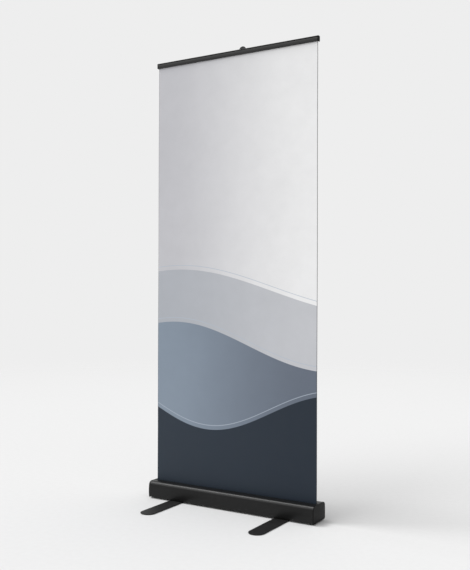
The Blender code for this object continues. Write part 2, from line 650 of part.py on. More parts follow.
def rail_body_section():
    """Web behind the film, top plate and rear lip: a hook channel open downwards."""
    web_front = FILM_HALF + GAP
    channel_front = RAIL_REAR - RAIL_WALL - CHANNEL_WIDTH
    lip = RAIL_HEIGHT - CHANNEL_LIP_DROP
    plate = RAIL_HEIGHT - RAIL_WALL
    corner = 0.0012
    bottom = GRIPPER_HEIGHT + 2 * GAP
    bead_y, bead_z = jaw_hinge()
    cradle_in = JAW_BEAD_RADIUS + GAP
    cradle_out = cradle_in + CRADLE_WALL
    cradle = [(bead_y + cradle_in, plate)]
    cradle += arc(bead_y, bead_z, cradle_in, 10, -95, 6)
    cradle += arc(bead_y, bead_z, cradle_out, -95, 0, 6)
    cradle += [(bead_y + cradle_out, plate)]
    web = [(web_front, plate), (web_front, bottom), (web_front + GRIPPER_THICKNESS + GAP, bottom),
           (web_front + GRIPPER_THICKNESS + GAP, 0.0), (channel_front, 0.0), (channel_front, plate)]
    lip_walls = [(RAIL_REAR - RAIL_WALL, plate), (RAIL_REAR - RAIL_WALL, lip), (RAIL_REAR, lip)]
    crown = [(RAIL_REAR, RAIL_HEIGHT - corner), (RAIL_REAR - corner, RAIL_HEIGHT),
             (-RAIL_FRONT + corner, RAIL_HEIGHT), (-RAIL_FRONT, RAIL_HEIGHT - corner)]
    return [(-RAIL_FRONT, plate)] + cradle + web + lip_walls + crown


def jaw_hinge():
    """Centre of the jaw's bead, relative to the film's plane and the rail's bottom."""
    return -RAIL_FRONT + JAW_BEAD_SETBACK, RAIL_HEIGHT - RAIL_WALL - JAW_BEAD_SETBACK - GAP


def jaw_section():
    """Front plate with a round bead along its top and an inward lip along its bottom."""
    bead_y, bead_z = jaw_hinge()
    plate_back = -RAIL_FRONT + 0.0022
    grip = -FILM_HALF - GAP - GRIPPER_THICKNESS - GAP
    bead = arc(bead_y, bead_z, JAW_BEAD_RADIUS, -140, 130, 8)
    front = [(-RAIL_FRONT, bead_z), (-RAIL_FRONT - 0.0004, bead_z / 2), (-RAIL_FRONT, 0.0012),
             (-RAIL_FRONT + 0.0012, 0.0)]
    lip = [(grip, 0.0), (grip, GRIPPER_HEIGHT), (plate_back, GRIPPER_HEIGHT + 0.001)]
    return bead + front + lip


def rail_group(upper, finishes):
    seat = (0.0, BANNER_Y, RAIL_BOTTOM)
    rail = pivot("rail_hook", seat, upper)
    piece("rail_body", prism_x(rail_body_section(), -RAIL_HALF, RAIL_HALF), seat, rail, finishes["rail"])
    strip = box(BANNER_WIDTH, GRIPPER_THICKNESS, GRIPPER_HEIGHT)
    gripper_y = BANNER_Y + FILM_HALF + GAP + GRIPPER_THICKNESS / 2
    piece("rail_gripper", strip, (0.0, gripper_y, RAIL_BOTTOM), rail, finishes["rubber"])
    for word, side in (("left", -1), ("right", 1)):
        start = side * (RAIL_HALF + GAP)
        end = side * (RAIL_HALF + RAIL_CAP_THICKNESS)
        rim = side * (RAIL_HALF + RAIL_CAP_THICKNESS - 0.0008)
        sections = [(start, cap_outline(0.0)), (rim, cap_outline(0.0)), (end, cap_outline(0.0008))]
        piece("rail_cap_" + word, loft_x(sections), seat, rail, finishes["plastic"])
    hinge_y, hinge_z = jaw_hinge()
    hinge = (0.0, BANNER_Y + hinge_y, RAIL_BOTTOM + hinge_z)
    jaw = pivot("rail_jaw_hinge", hinge, rail)
    outline = [(y - hinge_y, z - hinge_z) for y, z in jaw_section()]
    piece("rail_jaw", prism_x(outline, -RAIL_HALF, RAIL_HALF), hinge, jaw, finishes["rail"])
    jaw_strip = box(BANNER_WIDTH, GRIPPER_THICKNESS, GRIPPER_HEIGHT)
    strip_y = BANNER_Y - FILM_HALF - GAP - GRIPPER_THICKNESS / 2
    piece("jaw_gripper", jaw_strip, (0.0, strip_y, RAIL_BOTTOM), jaw, finishes["rubber"])
    film = box(BANNER_WIDTH, FILM_THICKNESS, RAIL_TOP - RAIL_WALL - 2 * GAP - ROLLER_Z)
    piece("banner_film", film, (0.0, BANNER_Y, ROLLER_Z), rail, finishes["film"])


def cap_outline(inset):
    """Rounded block that covers the rail's section."""
    radius = 0.003
    low = -RAIL_FRONT - 0.0006 + inset + radius
    high = RAIL_REAR + 0.0003 - inset - radius
    bottom = inset + radius
    top = RAIL_HEIGHT + 0.0004 - inset - radius
    return (arc(high, top, radius, 0, 90, 4) + arc(low, top, radius, 90, 180, 4)
            + arc(low, bottom, radius, 180, 270, 4) + arc(high, bottom, radius, 270, 360, 4))


# ---------------------------------------------------------------- assembly

def all_finishes():
    return {
        "shell": material("satin_black_aluminium", (0.018, 0.018, 0.019), 0.42, 0.6),
        "rail": material("anthracite_aluminium", (0.055, 0.055, 0.057), 0.45, 0.6),
        "steel_black": material("black_powder_coat", (0.022, 0.022, 0.023), 0.55, 0.2),
        "plastic": material("black_plastic", (0.012, 0.012, 0.013), 0.50, 0.0),
        "rubber": material("black_rubber", (0.015, 0.015, 0.015), 0.80, 0.0),
        "brush": material("black_pile", (0.010, 0.010, 0.011), 0.95, 0.0),
        "tube": material("plain_aluminium", (0.60, 0.61, 0.62), 0.35, 1.0),
        "steel": material("zinc_plated_steel", (0.52, 0.52, 0.50), 0.35, 1.0),
        "spring": material("spring_steel", (0.30, 0.30, 0.31), 0.35, 1.0),
        "nylon": material("white_nylon", (0.75, 0.75, 0.72), 0.55, 0.0),
        "film": material("printed_film", (0.62, 0.63, 0.66), 0.60, 0.0),
        "film_back": material("grey_film_back", (0.50, 0.50, 0.52), 0.65, 0.0),
    }


def build():
    clear_scene()
    finishes = all_finishes()
    base = pivot("base", (0.0, BASE_Y, 0.0))
    cassette_shell(base, finishes["shell"])
    end_cap("end_cap_left", -1, 6, base, finishes["plastic"])
    end_cap("end_cap_right", 1, 24, base, finishes["plastic"])
    cap_screws("left", -1, base, finishes["steel_black"])
    cap_screws("right", 1, base, finishes["steel_black"])
    slot_seals(base, finishes["brush"])
    roller = pivot("roller_spin", (0.0, ROLLER_Y, ROLLER_Z), base)
    roller_group(base, roller, finishes)
    feet(base, finishes)
    pole_socket(base, finishes)
    upper = pole_group(base, finishes)
    rail_group(upper, finishes)


build()
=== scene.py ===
"""Looks of a roll-up banner stand: a printed film that runs from a spring-roller cassette on two
swivel feet up to a clamp rail, which a telescopic pole holds by its hook.

Metres, +Z up. The banner's front faces -Y and +X is the viewer's right.
"""

import math

import bmesh
import bpy
import numpy as np
from mathutils import Matrix, Vector


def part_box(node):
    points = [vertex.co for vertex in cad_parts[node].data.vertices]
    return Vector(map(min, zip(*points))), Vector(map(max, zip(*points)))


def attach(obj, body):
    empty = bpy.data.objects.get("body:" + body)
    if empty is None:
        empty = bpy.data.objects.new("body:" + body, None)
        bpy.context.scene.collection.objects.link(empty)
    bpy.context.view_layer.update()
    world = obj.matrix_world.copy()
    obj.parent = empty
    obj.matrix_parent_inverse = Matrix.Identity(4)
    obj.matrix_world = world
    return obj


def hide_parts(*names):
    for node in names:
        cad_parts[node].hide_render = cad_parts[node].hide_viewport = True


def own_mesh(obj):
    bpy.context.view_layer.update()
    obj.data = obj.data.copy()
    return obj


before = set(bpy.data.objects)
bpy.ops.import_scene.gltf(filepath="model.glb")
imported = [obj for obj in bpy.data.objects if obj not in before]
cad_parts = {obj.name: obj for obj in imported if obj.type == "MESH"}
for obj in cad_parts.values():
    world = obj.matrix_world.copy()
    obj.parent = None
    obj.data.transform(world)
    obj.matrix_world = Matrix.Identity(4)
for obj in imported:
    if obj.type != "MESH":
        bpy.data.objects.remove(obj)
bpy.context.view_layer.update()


def corners(node):
    """Lowest and highest corner of a frame node as two arrays."""
    low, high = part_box(node)
    return np.array(low), np.array(high)


def axis_of(node):
    """x and y of the middle of a frame node."""
    low, high = corners(node)
    return (low[:2] + high[:2]) / 2


def tube_radius(word):
    """Outer radius of one pole section."""
    low, high = corners("pole_" + word + "_tube")
    return (high[0] - low[0]) / 2


# ---- places read from the frame ----
FILM_LOW, FILM_HIGH = corners("banner_film")
BANNER_HALF = FILM_HIGH[0]
BANNER_Y = (FILM_LOW[1] + FILM_HIGH[1]) / 2
FILM_HALF = (FILM_HIGH[1] - FILM_LOW[1]) / 2
SHELL_LOW, SHELL_HIGH = corners("cassette_shell")
SHELL_HALF = SHELL_HIGH[0]
SHELL_Y = (SHELL_LOW[1] + SHELL_HIGH[1]) / 2
SHELL_BOTTOM = SHELL_LOW[2]
SHELL_HEIGHT = SHELL_HIGH[2] - SHELL_LOW[2]
BASE_HALF = corners("end_cap_right")[1][0]
RAIL_LOW, RAIL_HIGH = corners("rail_body")
RAIL_HALF = RAIL_HIGH[0]
RAIL_BOTTOM = RAIL_LOW[2]
RAIL_HEIGHT = RAIL_HIGH[2] - RAIL_LOW[2]
RAIL_FRONT = BANNER_Y - RAIL_LOW[1]
RAIL_REAR = RAIL_HIGH[1] - BANNER_Y
POLE_X, POLE_Y = axis_of("pole_lower_tube")
ROLLER_LOW, ROLLER_HIGH = corners("roller_tube")
ROLLER_Y = (ROLLER_LOW[1] + ROLLER_HIGH[1]) / 2
ROLLER_Z = (ROLLER_LOW[2] + ROLLER_HIGH[2]) / 2

# ---- sizes of the hard parts, as the frame has them ----
FACE_BULGE = 0.0015
SHELL_DEPTH_HALF = (SHELL_HIGH[1] - SHELL_LOW[1]) / 2 - FACE_BULGE
SHELL_WALL = 0.0020
TOP_RADIUS = 0.018
BOTTOM_RADIUS = 0.005
SLOT_WIDTH = 0.009
SLOT_AHEAD = SHELL_Y - BANNER_Y
SLOT_LIP_DROP = 0.007
SLOT_EDGE = 0.0008
LIP_EDGE = 0.0004
INNER_EDGE = 0.0005
CAP_PROUD = 0.0006
CAP_RIM = 0.0010
GAP = 0.0003
CUT = 0.001
MERGE = 2e-6
FINE_EDGE = 0.0003
SCREW_RADIUS = 0.0016
SCREW_HEAD = 0.0034
SCREW_HEAD_HEIGHT = 0.0020
SCREW_HEAD_EDGE = 0.0007
SCREW_HEAD_GAP = 0.0004
SCREW_TIP = 0.0006
CAP_SCREW_LENGTH = 0.012
RECESS_DEPTH = 0.0012
RECESS_WIDTH = 0.0008
RECESS_LENGTH = 0.0036
PORT_WALL = 0.0020
PORT_MOUTH = 35
ARBOR_RADIUS = 0.004
BOSS_RADIUS = 0.008
BOSS_LENGTH = 0.005
LUG_THICKNESS = 0.002
RAIL_WALL = 0.0022
RAIL_CROWN = 0.0012
RAIL_CAP_RADIUS = 0.003
RAIL_CAP_RIM = 0.0009
CHANNEL_WIDTH = 0.004
CHANNEL_LIP_DROP = 0.012
GRIPPER_HEIGHT = 0.010
GRIPPER_THICKNESS = 0.0009
BEAD_RADIUS = 0.0014
BEAD_SETBACK = 0.0034
CRADLE_WALL = 0.001
TUBE_WALL = 0.001
TUBE_EDGE = 0.0002
COLLET_WALL = 0.0018
COLLET_BEAD = 0.0007
COLLET_BEVEL = (0.0015, 0.002)
COLLAR_WALL = 0.0026
COLLAR_ROOF = 0.002
COLLAR_LOW_EDGE = 0.0009
COLLAR_TOP_EDGE = 0.0012
COLLAR_END = 0.001
COLLAR_RIBS = 12
COLLAR_RIB_DEPTH = 0.0009
HEAD_SLEEVE = 0.024
HEAD_WALL = 0.0022
HEAD_WIDTH = 0.026
HEAD_TOP = 0.004
KNOB_RADIUS = 0.0185
KNOB_THICKNESS = 0.0045
KNOB_EDGE = 0.0010
KNOB_FACE_EDGE = 0.0014
KNOB_BORDER = 0.0036
KNOB_DISH = 0.0006
TONGUE_THICKNESS = 0.003
TONGUE_EDGE = 0.0006
HEAD_EDGE = 0.0008
CROWN_EDGE = 0.0010
BOLT_RADIUS = 0.003
BOLT_HEAD = 0.0062
BOLT_TIP = 0.0007
BOLT_SOCKET = 0.0023
BOLT_SOCKET_DEPTH = 0.0016
FOOT_EDGE = 0.0008
FOOT_RIM = 0.3
FOOT_EDGE_RIM = 0.15
PAD_EDGE = 0.0005
PAD_RINGS = (0.45, 0.72)
GROOVE_WIDTH = 0.0009
GROOVE_DEPTH = 0.0004
BRUSH_BACKING = 0.0022
TUFT_SPACING = 0.0011
TUFT_HALF = 0.00038
TUFT_ROWS = 3
TUFT_MARGIN = 0.0004
TUFT_ROOT = 0.0003
TUFT_SCATTER = 0.00015
TUFT_LEAN = 0.0003
TUFT_SHARES = (0.82, 0.99)
TUFT_TIP = 0.25


# ---------------------------------------------------------------- shapes

def unit(vectors):
    """Each vector at length one."""
    return vectors / np.linalg.norm(vectors, axis=-1, keepdims=True)


def arc(centre_u, centre_v, radius, start, end, steps=12):
    """Circle points centre + radius * (cos, sin), with the angle going evenly from start to end."""
    angle = np.radians(np.linspace(start, end, steps + 1))
    return np.stack([centre_u + radius * np.cos(angle), centre_v + radius * np.sin(angle)], -1)


def filleted(outline, steps=6):
    """Rounds each corner (u, v, radius) of a closed outline.

    The arc's centre lies on the corner's bisector at radius / sin(half angle). Returns the points
    and the rim value of each, sin(pi * share along its arc), which is nought on the straights.
    """
    outline = np.array(outline, float)
    here = outline[:, :2]
    radius = outline[:, 2]
    back = unit(np.roll(here, 1, 0) - here)
    ahead = unit(np.roll(here, -1, 0) - here)
    half = np.arccos(np.clip((back * ahead).sum(-1), -1, 1)) / 2
    centre = here + unit(back + ahead) * (radius / np.sin(half))[:, None]
    first = here + back * (radius / np.tan(half))[:, None] - centre
    last = here + ahead * (radius / np.tan(half))[:, None] - centre
    start = np.arctan2(first[:, 1], first[:, 0])
    turn = np.arctan2(last[:, 1], last[:, 0]) - start
    turn = (turn + math.pi) % (2 * math.pi) - math.pi
    share = np.linspace(0, 1, steps + 1)
    angle = start[:, None] + turn[:, None] * share
    points = centre[:, None] + radius[:, None, None] * np.stack([np.cos(angle), np.sin(angle)], -1)
    rim = np.broadcast_to(np.sin(math.pi * share), angle.shape)
    return points.reshape(-1, 2), rim.reshape(-1)


def divided(outline, rim, longest):
    """Adds points to a closed outline, so that no straight is longer than longest.

    Distance along the outline is sampled at the old points and at an even spacing.
    """
    looped = np.concatenate([outline, outline[:1]])
    along = np.concatenate([[0], np.cumsum(np.linalg.norm(np.diff(looped, axis=0), axis=1))])
    even = np.linspace(0, along[-1], int(along[-1] / longest) + 1)[:-1]
    nearest = np.abs(even[:, None] - along[None]).min(1)
    stops = np.sort(np.concatenate([along[:-1], even[nearest > longest / 4]]))
    points = np.stack([np.interp(stops, along, looped[:, i]) for i in range(2)], -1)
    return points, np.interp(stops, along, np.append(rim, rim[0]))


def inset(outline, distance):
    """Moves each point of a closed outline inwards along its normal, which is the chord between
    its neighbours turned a quarter."""
    chord = unit(np.roll(outline, -1, 0) - np.roll(outline, 1, 0))
    normal = np.stack([chord[:, 1], -chord[:, 0]], -1)
    following = np.roll(outline, -1, 0)
    area = (outline[:, 0] * following[:, 1] - following[:, 0] * outline[:, 1]).sum()
    return outline - normal * distance * np.sign(area)


def grid_faces(rows, columns, wrap_rows, wrap_columns):
    """Quads between neighbouring points of a grid, wrapped round where asked."""
    row = np.arange(rows if wrap_rows else rows - 1)[:, None]
    column = np.arange(columns if wrap_columns else columns - 1)[None]
    next_row = (row + 1) % rows
    next_column = (column + 1) % columns
    quads = [row * columns + column, row * columns + next_column,
             next_row * columns + next_column, next_row * columns + column]
    return np.stack(quads, -1).reshape(-1, 4)


def swept(outline, rim, stations):
    """Closed solid from an outline in (u, v) carried along s; stations are (s, inset, rim)."""
    rings = [np.column_stack([inset(outline, depth), np.full(len(outline), s)]) for s, depth, _ in stations]
    edge = np.concatenate([np.maximum(rim, station[2]) for station in stations])
    count = len(outline)
    sides = grid_faces(len(stations), count, False, True)
    ends = np.stack([np.arange(count)[::-1], np.arange(count) + (len(stations) - 1) * count])
    return np.concatenate(rings), [sides, ends], edge


def rounded_ends(low, high, radius, steps=5):
    """Stations of a sweep from low to high whose far end is rounded by a quarter circle."""
    angle = np.linspace(0, math.pi / 2, steps + 1)
    reach = radius * np.sin(angle)
    depth = radius * (1 - np.cos(angle))
    edge = np.sin(2 * angle)
    sign = math.copysign(1, high - low)
    return [(low, 0.0, 0.0)] + list(zip(high - sign * (radius - reach), depth, edge))


def turned(profile, rim=None, steps=64, ribs=0, rib_depth=0.0, rib_span=(0.0, 1.0)):
    """Solid of revolution about Z from a closed (radius, height) profile, or from one that starts
    and ends on the axis.

    With ribs, radius shrinks by depth * (1 - cos(ribs * angle)) / 2 on the outermost points,
    and the depth fades to nought at both ends of rib_span.
    """
    profile = np.array(profile, float)
    rim = np.zeros(len(profile)) if rim is None else np.asarray(rim, float)
    capped = profile[0, 0] == 0 and profile[-1, 0] == 0
    ring = profile[1:-1] if capped else profile
    angle = np.linspace(0, 2 * math.pi, steps, endpoint=False)[:, None]
    radius = np.broadcast_to(ring[:, 0], (steps, len(ring))).copy()
    if ribs:
        outer = ring[:, 0] > ring[:, 0].max() - 2 * rib_depth
        share = (ring[:, 1] - rib_span[0]) / (rib_span[1] - rib_span[0])
        fade = np.clip(4 * np.minimum(share, 1 - share), 0, 1) * outer
        radius -= rib_depth * fade * (0.5 - 0.5 * np.cos(ribs * angle))
    height = np.broadcast_to(ring[:, 1], radius.shape)
    points = np.stack([radius * np.cos(angle), radius * np.sin(angle), height], -1).reshape(-1, 3)
    count = len(ring)
    faces = [grid_faces(steps, count, True, not capped)]
    edge = np.tile(rim[1:-1] if capped else rim, steps)
    if capped:
        first = np.arange(steps) * count
        following = (np.arange(steps) + 1) % steps * count
        foot = np.full(steps, len(points))
        faces.append(np.stack([foot, following, first], -1))
        faces.append(np.stack([foot + 1, first + count - 1, following + count - 1], -1))
        poles = np.array([[0, 0, profile[0, 1]], [0, 0, profile[-1, 1]]])
        points = np.concatenate([points, poles])
        edge = np.append(edge, [0, 0])
    return points, faces, edge


TURNS = {"+z": np.eye(3), "-z": np.diag([1.0, -1.0, -1.0]),
         "+x": np.array([[0, 0, 1.0], [1, 0, 0], [0, 1, 0]]),
         "-x": np.array([[0, 0, -1.0], [-1, 0, 0], [0, 1, 0]]),
         "+y": np.array([[0, 1.0, 0], [0, 0, 1], [1, 0, 0]])}


def placed(part, place=(0.0, 0.0, 0.0), direction="+z"):
    """Turns a part so that its own Z points in the direction named, then moves it to place."""
    points, faces, edge = part
    return points @ TURNS[direction].T + np.array(place), faces, edge


def turned_outwards(mesh):
    """Merges doubles and points the faces outwards."""
    shape = bmesh.new()
    shape.from_mesh(mesh)
    bmesh.ops.remove_doubles(shape, verts=shape.verts, dist=MERGE)
    bmesh.ops.recalc_face_normals(shape, faces=shape.faces)
    shape.to_mesh(mesh)
    shape.free()


def smoothed(mesh, sharp):
    """Smooth shading, with the edges sharper than this many degrees kept crisp."""
    mesh.shade_smooth()
    mesh.set_sharp_from_angle(angle=math.radians(sharp))


def solid(name, parts, sharp=32):
    """One object from parts, each (points, faces, rim values); all faces are turned outwards."""
    mesh = bpy.data.meshes.new(name)
    offsets = np.cumsum([0] + [len(part[0]) for part in parts])
    faces = [face + start for part, start in zip(parts, offsets) for face in part[1]]
    widths = np.concatenate([np.full(len(face), face.shape[1]) for face in faces])
    mesh.vertices.add(int(offsets[-1]))
    mesh.vertices.foreach_set("co", np.concatenate([part[0] for part in parts]).astype(np.float32).ravel())
    mesh.loops.add(int(widths.sum()))
    mesh.loops.foreach_set("vertex_index", np.concatenate([face.ravel() for face in faces]).astype(np.int32))
    mesh.polygons.add(len(widths))
    mesh.polygons.foreach_set("loop_start", np.concatenate([[0], np.cumsum(widths)[:-1]]).astype(np.int32))
    mesh.update(calc_edges=True)
    rim = mesh.attributes.new("rim", "FLOAT", "POINT")
    rim.data.foreach_set("value", np.concatenate([part[2] for part in parts]).astype(np.float32))
    turned_outwards(mesh)
    smoothed(mesh, sharp)
    item = bpy.data.objects.new(name, mesh)
    bpy.context.scene.collection.objects.link(item)
    return item


def carved(item, parts, operation="DIFFERENCE", sharp=32):
    """Cuts parts out of the item, or joins them on, and keeps the result as its mesh."""
    tool = solid(item.name + "_tool", parts)
    step = item.modifiers.new("Carve", "BOOLEAN")
    step.operation = operation
    step.object = tool
    graph = bpy.context.evaluated_depsgraph_get()
    mesh = bpy.data.meshes.new_from_object(item.evaluated_get(graph))
    item.modifiers.clear()
    item.data = mesh
    bpy.data.objects.remove(tool)
    smoothed(mesh, sharp)


def fitted(item, finish, body, node):
    """Gives a new piece its material and its body, and hides the frame node it stands for."""
    item.data.materials.clear()
    item.data.materials.append(FINISHES[finish])
    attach(item, body)
    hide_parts(node)


def rod(radius, low, high, steps=32):
    """Upright round bar on the Z axis."""
    return turned([(0, low), (radius, low), (radius, high), (0, high)], steps=steps)


def extrusion(outline, rim, half, place):
    """Outline carried along X from -half to half."""
    return placed(swept(outline, rim, [(-half, 0, 0), (half, 0, 0)]), place, "+x")


def block(width, depth, low, high, radius=0.0004):
    """Upright block round the origin with filleted upright edges."""
    u, v = width / 2, depth / 2
    outline, rim = filleted([(-u, -v, radius), (u, -v, radius), (u, v, radius), (-u, v, radius)], 3)
    return swept(outline, rim, [(low, 0, 0), (high, 0, 0)])


# ---------------------------------------------------------------- shader nodes

class Wiring:
    """Adds nodes to one node tree and joins them."""

    def __init__(self, tree):
        self.nodes = tree.nodes
        self.links = tree.links

    def feed(self, socket, value):
        """Links another socket to this one, or sets its value."""
        if isinstance(value, bpy.types.NodeSocket):
            self.links.new(value, socket)
        else:
            socket.default_value = value

    def add(self, kind, inputs=(), **settings):
        """New node with its settings and its inputs fed."""
        made = self.nodes.new(kind)
        for name, value in settings.items():
            setattr(made, name, value)
        for key, value in dict(inputs).items():
            self.feed(made.inputs[key], value)
        return made

    def math(self, operation, *values):
        return self.add("ShaderNodeMath", enumerate(values), operation=operation).outputs[0]

    def mix(self, factor, first, second, blend="MIX"):
        feeds = {0: factor, 6: first, 7: second}
        return self.add("ShaderNodeMix", feeds, data_type="RGBA", blend_type=blend).outputs[2]

    def scale(self, vector, factors):
        return self.add("ShaderNodeVectorMath", {0: vector, 1: factors}, operation="MULTIPLY").outputs[0]

    def noise(self, vector, scale, detail=3.0, roughness=0.5):
        feeds = {"Vector": vector, "Scale": scale, "Detail": detail, "Roughness": roughness}
        return self.add("ShaderNodeTexNoise", feeds).outputs[0]

    def band(self, value, low, high, start=0.0, end=1.0, smooth=True):
        """Goes from start to end as the value goes from low to high, and stays there beyond."""
        feeds = {"Value": value, "From Min": low, "From Max": high, "To Min": start, "To Max": end}
        kind = "SMOOTHSTEP" if smooth else "LINEAR"
        return self.add("ShaderNodeMapRange", feeds, interpolation_type=kind).outputs[0]


def shared_effect(name, inputs, outputs):
    """Empty node group; inputs are (name, socket type, value). Returns it, its wiring and both ends."""
    group = bpy.data.node_groups.new(name, "ShaderNodeTree")
    for label, kind, value in inputs:
        socket = group.interface.new_socket(label, in_out="INPUT", socket_type="NodeSocket" + kind)
        if value is not None:
            socket.default_value = value
    for label in outputs:
        group.interface.new_socket(label, in_out="OUTPUT", socket_type="NodeSocketFloat")
    wires = Wiring(group)
    return group, wires, wires.add("NodeGroupInput"), wires.add("NodeGroupOutput")


def drawn_lines_effect():
    """Fine lines left along one direction by the die or the drawing bench."""
    group, wires, source, result = shared_effect(
        "drawn_lines", [("Position", "Vector", None), ("Line Scale", "Vector", (1.0, 1.0, 1.0))],
        ["Height", "Tone"])
    place = wires.scale(source.outputs["Position"], source.outputs["Line Scale"])
    fine = wires.noise(place, scale=1.0, detail=2.0, roughness=0.6)
    broad = wires.noise(place, scale=0.13, detail=1.0)
    wires.feed(result.inputs["Height"], fine)
    wires.feed(result.inputs["Tone"], wires.math("ADD", wires.math("MULTIPLY", fine, 0.5),
                                                 wires.math("MULTIPLY", broad, 0.5)))
    return group


def fine_grain_effect():
    """Grain of a coat or a mould, with a slow drift of its tone."""
    group, wires, source, result = shared_effect(
        "fine_grain", [("Position", "Vector", None), ("Grain Scale", "Float", 1500.0)],
        ["Height", "Tone"])
    fine = wires.noise(source.outputs["Position"], source.outputs["Grain Scale"], 2.0, 0.6)
    broad = wires.noise(source.outputs["Position"], scale=9.0, roughness=0.55)
    wires.feed(result.inputs["Height"], fine)
    wires.feed(result.inputs["Tone"], broad)
    return group


def edge_wear_effect():
    """Mask of rubbed edges: the rim value of the shape, broken up by noise."""
    group, wires, source, result = shared_effect(
        "edge_wear", [("Position", "Vector", None), ("Rim", "Float", 0.0), ("Amount", "Float", 0.5)],
        ["Mask"])
    broken = wires.noise(source.outputs["Position"], scale=70.0, detail=4.0, roughness=0.65)
    patchy = wires.band(broken, 0.45, 0.72)
    edge = wires.band(source.outputs["Rim"], 0.35, 1.0)
    worn = wires.math("MULTIPLY", wires.math("MULTIPLY", edge, patchy), source.outputs["Amount"])
    wires.feed(result.inputs["Mask"], worn)
    return group


def settled_dust_effect():
    """Mask of dust on faces that look up, thicker in soft patches."""
    group, wires, source, result = shared_effect(
        "settled_dust", [("Position", "Vector", None), ("Upward", "Float", 0.0), ("Amount", "Float", 0.3)],
        ["Mask"])
    patches = wires.noise(source.outputs["Position"], scale=35.0, detail=5.0, roughness=0.7)
    lying = wires.band(source.outputs["Upward"], 0.5, 1.0)
    mask = wires.math("MULTIPLY", wires.math("MULTIPLY", lying, wires.band(patches, 0.3, 0.8)),
                      source.outputs["Amount"])
    wires.feed(result.inputs["Mask"], mask)
    return group


DRAWN_LINES = drawn_lines_effect()
FINE_GRAIN = fine_grain_effect()
EDGE_WEAR = edge_wear_effect()
SETTLED_DUST = settled_dust_effect()


def new_material(name):
    """Empty material; returns it, its wiring and its shader."""
    made = bpy.data.materials.new(name)
    made.use_nodes = True
    wires = Wiring(made.node_tree)
    return made, wires, made.node_tree.nodes["Principled BSDF"]


def object_place(wires):
    """The object's own coordinates."""
    return wires.add("ShaderNodeTexCoord").outputs["Object"]


def use_effect(wires, group, inputs):
    """Places a shared effect with its own values."""
    used = wires.add("ShaderNodeGroup", node_tree=group)
    for key, value in inputs.items():
        wires.feed(used.inputs[key], value)
    return used.outputs


def wear_mask(wires, place, amount):
    """Where this piece's edges are rubbed."""
    rim = wires.add("ShaderNodeAttribute", attribute_name="rim").outputs["Fac"]
    return use_effect(wires, EDGE_WEAR, {"Position": place, "Rim": rim, "Amount": amount})["Mask"]


def dust_mask(wires, place, amount):
    """Where dust lies on this piece."""
    normal = wires.add("ShaderNodeNewGeometry").outputs["Normal"]
    upward = wires.add("ShaderNodeSeparateXYZ", {0: normal}).outputs["Z"]
    return use_effect(wires, SETTLED_DUST, {"Position": place, "Upward": upward, "Amount": amount})["Mask"]


def bumped(wires, shader, height, depth):
    bump = wires.add("ShaderNodeBump", {"Height": height, "Distance": depth, "Strength": 1.0})
    wires.feed(shader.inputs["Normal"], bump.outputs[0])


def rgb(level, tint=(1.0, 1.0, 1.0)):
    """Colour of one level, tinted."""
    return tuple(level * part for part in tint) + (1.0,)


PLAIN_SHINE = 0.5
COAT_SHINE = 0.22
SATIN_SHINE = 0.40
MOULDED_SHINE = 0.12
PRINT_SHINE = 0.35
DUST_COLOUR = (0.25, 0.24, 0.23, 1.0)
BARE_METAL = (0.30, 0.30, 0.31, 1.0)
ALONG_X = (3.0, 2600.0, 2600.0)
ALONG_Z = (2600.0, 2600.0, 3.0)


def lined_metal(name, dark, light, roughness, metallic, line_scale, wear, shine=PLAIN_SHINE):
    """Metal with drawn lines: the lines vary colour, roughness and height."""
    made, wires, shader = new_material(name)
    place = object_place(wires)
    lines = use_effect(wires, DRAWN_LINES, {"Position": place, "Line Scale": line_scale})
    colour = wires.mix(lines["Tone"], dark, light)
    worn = wear_mask(wires, place, wear)
    dusty = dust_mask(wires, place, 0.02)
    colour = wires.mix(dusty, wires.mix(worn, colour, BARE_METAL), DUST_COLOUR)
    wires.feed(shader.inputs["Base Color"], colour)
    rough = wires.band(lines["Tone"], 0.2, 0.8, roughness - 0.05, roughness + 0.07, False)
    wires.feed(shader.inputs["Roughness"], wires.math("ADD", rough, wires.math("MULTIPLY", dusty, 0.3)))
    shader.inputs["Metallic"].default_value = metallic
    shader.inputs["Specular IOR Level"].default_value = shine
    bumped(wires, shader, lines["Height"], 0.00003)
    return made


def grained_coat(name, dark, light, roughness, grain_scale, depth, dust=0.12, wear=0.0, bare=None,
                 shine=COAT_SHINE):
    """Coat or moulding with a grain: the slow drift varies colour and roughness."""
    made, wires, shader = new_material(name)
    place = object_place(wires)
    grain = use_effect(wires, FINE_GRAIN, {"Position": place, "Grain Scale": grain_scale})
    colour = wires.mix(grain["Tone"], dark, light)
    if bare is not None:
        colour = wires.mix(wear_mask(wires, place, wear), colour, bare)
    dusty = dust_mask(wires, place, dust)
    wires.feed(shader.inputs["Base Color"], wires.mix(dusty, colour, DUST_COLOUR))
    rough = wires.band(grain["Tone"], 0.3, 0.7, roughness - 0.05, roughness + 0.06, False)
    wires.feed(shader.inputs["Roughness"], wires.math("ADD", rough, wires.math("MULTIPLY", dusty, 0.25)))
    shader.inputs["Specular IOR Level"].default_value = shine
    bumped(wires, shader, grain["Height"], depth)
    return made


def satin_black_aluminium():
    return lined_metal("satin_black_aluminium", rgb(0.007), rgb(0.012), roughness=0.33, metallic=0.4,
                       line_scale=ALONG_X, wear=0.018, shine=SATIN_SHINE)


def anthracite_aluminium():
    return lined_metal("anthracite_aluminium", rgb(0.022), rgb(0.031), roughness=0.34, metallic=0.45,
                       line_scale=ALONG_X, wear=0.05)


def plain_aluminium():
    return lined_metal("plain_aluminium", rgb(0.50), rgb(0.66, (1.0, 1.0, 1.01)), roughness=0.34,
                       metallic=1.0, line_scale=ALONG_Z, wear=0.0)


